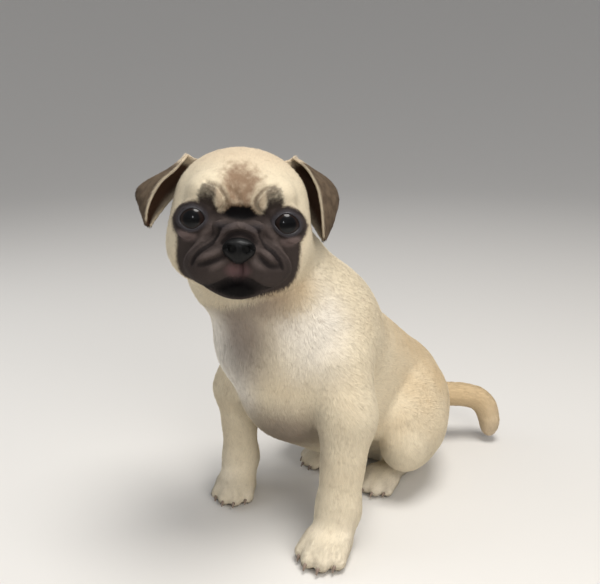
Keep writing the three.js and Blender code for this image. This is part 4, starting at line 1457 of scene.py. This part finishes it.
def grow(root, normal, lie, told, bent, lift, width):
    """Points of all tufts, and the triangles of one. A bent tuft has seven points, a straight one four."""
    number = len(root)
    length = told["length"] * random.uniform(0.72, 1.22, number)
    wide = width * np.sqrt(length) * random.uniform(0.75, 1.25, number)
    yaw = 0.18 * sway(root, 5.0, 3) + 0.16 * sway(root, 17.0, 4) + random.normal(0, 0.13, number)
    way = unit(lie - normal * (lie * normal).sum(1)[:, None])
    side = np.cross(normal, way)
    way, side = (way * np.cos(yaw)[:, None] + side * np.sin(yaw)[:, None],
                 side * np.cos(yaw)[:, None] - way * np.sin(yaw)[:, None])
    rise = lift * random.uniform(0.4, 1.3, number)
    foot = root - normal * ROOT_DEPTH

    def ring(along, height, share):
        middle = foot + way * (length * along)[:, None] + normal * (length * height + ROOT_DEPTH)[:, None]
        half = (wide * share / 2)[:, None]
        return [middle - side * half, middle + side * half, middle + normal * half * 0.6]

    parts = ring(0, 0 * rise, 1)
    tip = foot + way * length[:, None] + normal * (length * rise * 1.1 + 0.2)[:, None]
    tip_share = [0.0] * 3
    faces = [(0, 2, 1)]
    if bent:
        parts += ring(0.5, rise * 0.8, 0.85)
        tip_share += [0.5] * 3
        faces += [(0, 1, 3), (1, 4, 3), (1, 2, 4), (2, 5, 4), (2, 0, 5), (0, 3, 5)]
    last = len(parts)
    top = last - 3
    faces += [(top, top + 1, last), (top + 1, top + 2, last), (top + 2, top, last)]
    points = np.stack([*parts, tip], 1)
    points[..., 2] = np.maximum(points[..., 2], TUFT_FLOOR)
    return points, np.array(faces), [*tip_share, 1.0], side


# %% One piece of coat
PATCH = 0.003  # width of a tuft's patch on the unwrap, at the place of its root
LEAN = 0.2  # how far the normals of a tuft's sides lean away from the skin's


def make_coat(name, made, told, normal, shade):
    """One mesh of tufts with its shares, its OFBake map and its soft normals."""
    points, faces, tip_share, side = made
    number, each = points.shape[:2]
    cells = (faces[None] + (np.arange(number) * each)[:, None, None]).reshape(-1, 3)
    coat = bpy.data.meshes.new(name)
    coat.vertices.add(number * each)
    coat.vertices.foreach_set("co", to_frame(points.reshape(-1, 3)).astype(np.float32).ravel())
    coat.loops.add(cells.size)
    coat.loops.foreach_set("vertex_index", cells.astype(np.int32).ravel())
    coat.polygons.add(len(cells))
    coat.polygons.foreach_set("loop_start", np.arange(0, cells.size, 3, dtype=np.int32))
    coat.update(calc_edges=True)
    item = bpy.data.objects.new(name, coat)
    bpy.context.collection.objects.link(item)
    for share in SHARES:
        add_share(item, share, np.repeat(told[share], each))
    add_share(item, "strand", np.repeat(shade, each))
    add_share(item, "tip", np.tile(tip_share, number))
    across = np.tile([-1.0, 1.0, 0.0], 3)[:each]
    across[-1] = 0
    spread = np.stack([across * PATCH / 2, np.array(tip_share) * PATCH - PATCH / 2], 1)
    uv = (told["uv"][:, None] + spread[None]).reshape(-1, 2)
    layer = coat.uv_layers.new(name="OFBake")
    layer.data.foreach_set("uv", uv[cells.ravel()].astype(np.float32).ravel())
    soft = normal[:, None] + side[:, None] * (across * LEAN)[None, :, None]
    coat.polygons.foreach_set("use_smooth", np.ones(len(cells), bool))
    coat.normals_split_custom_set_from_vertices(unit(soft.reshape(-1, 3)).astype(np.float32))
    item.data.materials.append(coat_look)
    return item


# %% Grow the coat, in pieces
coat_look = coat_graph("coat_tufts", hair=True)
coat_look.diffuse_color = (*CREAM, 1)
LIMIT = 190000  # triangles in one piece
TRIANGLES = {True: 10, False: 4}  # in a bent and in a straight tuft
total = 0
for name, (weight, number, bent, lift, width) in COATS.items():
    root, normal, lie, told = roots(weight, number)
    shade = random.random(number)
    step = LIMIT // TRIANGLES[bent]
    for part, first in enumerate(range(0, number, step)):
        cut = slice(first, first + step)
        told_here = {key: value[cut] for key, value in told.items()}
        made = grow(root[cut], normal[cut], lie[cut], told_here, bent, lift, width)
        piece = make_coat(f"{name}_{part + 1}", made, told_here, normal[cut], shade[cut])
        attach(piece, "root")
        total += len(piece.data.polygons)
print("coat triangles:", total)

# %% [markdown]
# ## Studio
#
# A plain pale floor that sweeps up far away, a large soft lamp high above and a little to the puppy's left,
# a weaker one from the left, a fill from the right, a small lamp for the light in the eyes, and a pale
# surround. The camera takes the photograph's view: from the puppy's front left, looking down a little.

# %% Floor
FLAT_REACH, BOWL = 1.5, 2.2  # metres: how far the floor is flat, and the radius of the sweep beyond
deselect_all()
bpy.ops.mesh.primitive_grid_add(x_subdivisions=90, y_subdivisions=90, size=7)
floor = bpy.context.active_object
floor.name = floor.data.name = "studio_floor"
place = corners(floor)
beyond = np.clip(np.hypot(place[:, 0], place[:, 1]) - FLAT_REACH, 0, BOWL * 0.93)
place[:, 2] = BOWL - np.sqrt(BOWL**2 - beyond**2)
move_corners(floor, place)
bpy.ops.object.shade_smooth()
g = Graph("studio_floor")
floor.data.materials.append(g.finish(Base_Color=srgb(214, 211, 206), Roughness=0.75))


# %% Lamps
CHEST = (0, -40, 120)


def add_lamp(name, place, target, size, power, colour):
    deselect_all()
    bpy.ops.object.light_add(type="AREA", location=to_frame(place))
    lamp = bpy.context.active_object
    lamp.name = name
    lamp.data.shape = "DISK"
    lamp.data.size, lamp.data.energy, lamp.data.color = size, power, colour
    lamp.rotation_euler = Vector(to_frame(target) - to_frame(place)).to_track_quat("-Z", "Y").to_euler()
    return lamp


add_lamp("key", (260, 30, 1500), CHEST, 0.7, 17.2, (1, 0.98, 0.95))
soft = [
    add_lamp("side", (650, -300, 430), CHEST, 0.5, 3.0, (1, 0.97, 0.93)),
    add_lamp("fill", (-700, -500, 500), CHEST, 0.9, 2.6, (0.93, 0.96, 1)),
]
for lamp in soft:
    lamp.visible_glossy = False
add_lamp("spark", (330, -560, 520), (0, -80, 200), 0.07, 0.35, (0.95, 0.97, 1))

world = bpy.data.worlds.new("surround")
world.use_nodes = True
surround = world.node_tree.nodes["Background"].inputs
surround["Color"].default_value = (0.93, 0.95, 1, 1)
surround["Strength"].default_value = 0.34
bpy.context.scene.world = world
bpy.context.scene.view_settings.view_transform = "Standard"

# %% Camera
CAMERA_PLACE = (308, -377, 286)
CAMERA_AZIMUTH, CAMERA_PITCH = 42.0, 16.0

bpy.ops.object.camera_add(location=to_frame(CAMERA_PLACE),
                          rotation=(math.radians(90 - CAMERA_PITCH), 0, math.radians(CAMERA_AZIMUTH)))
camera = bpy.context.active_object
camera.data.sensor_width = 36
camera.data.lens = 45
bpy.context.scene.camera = camera
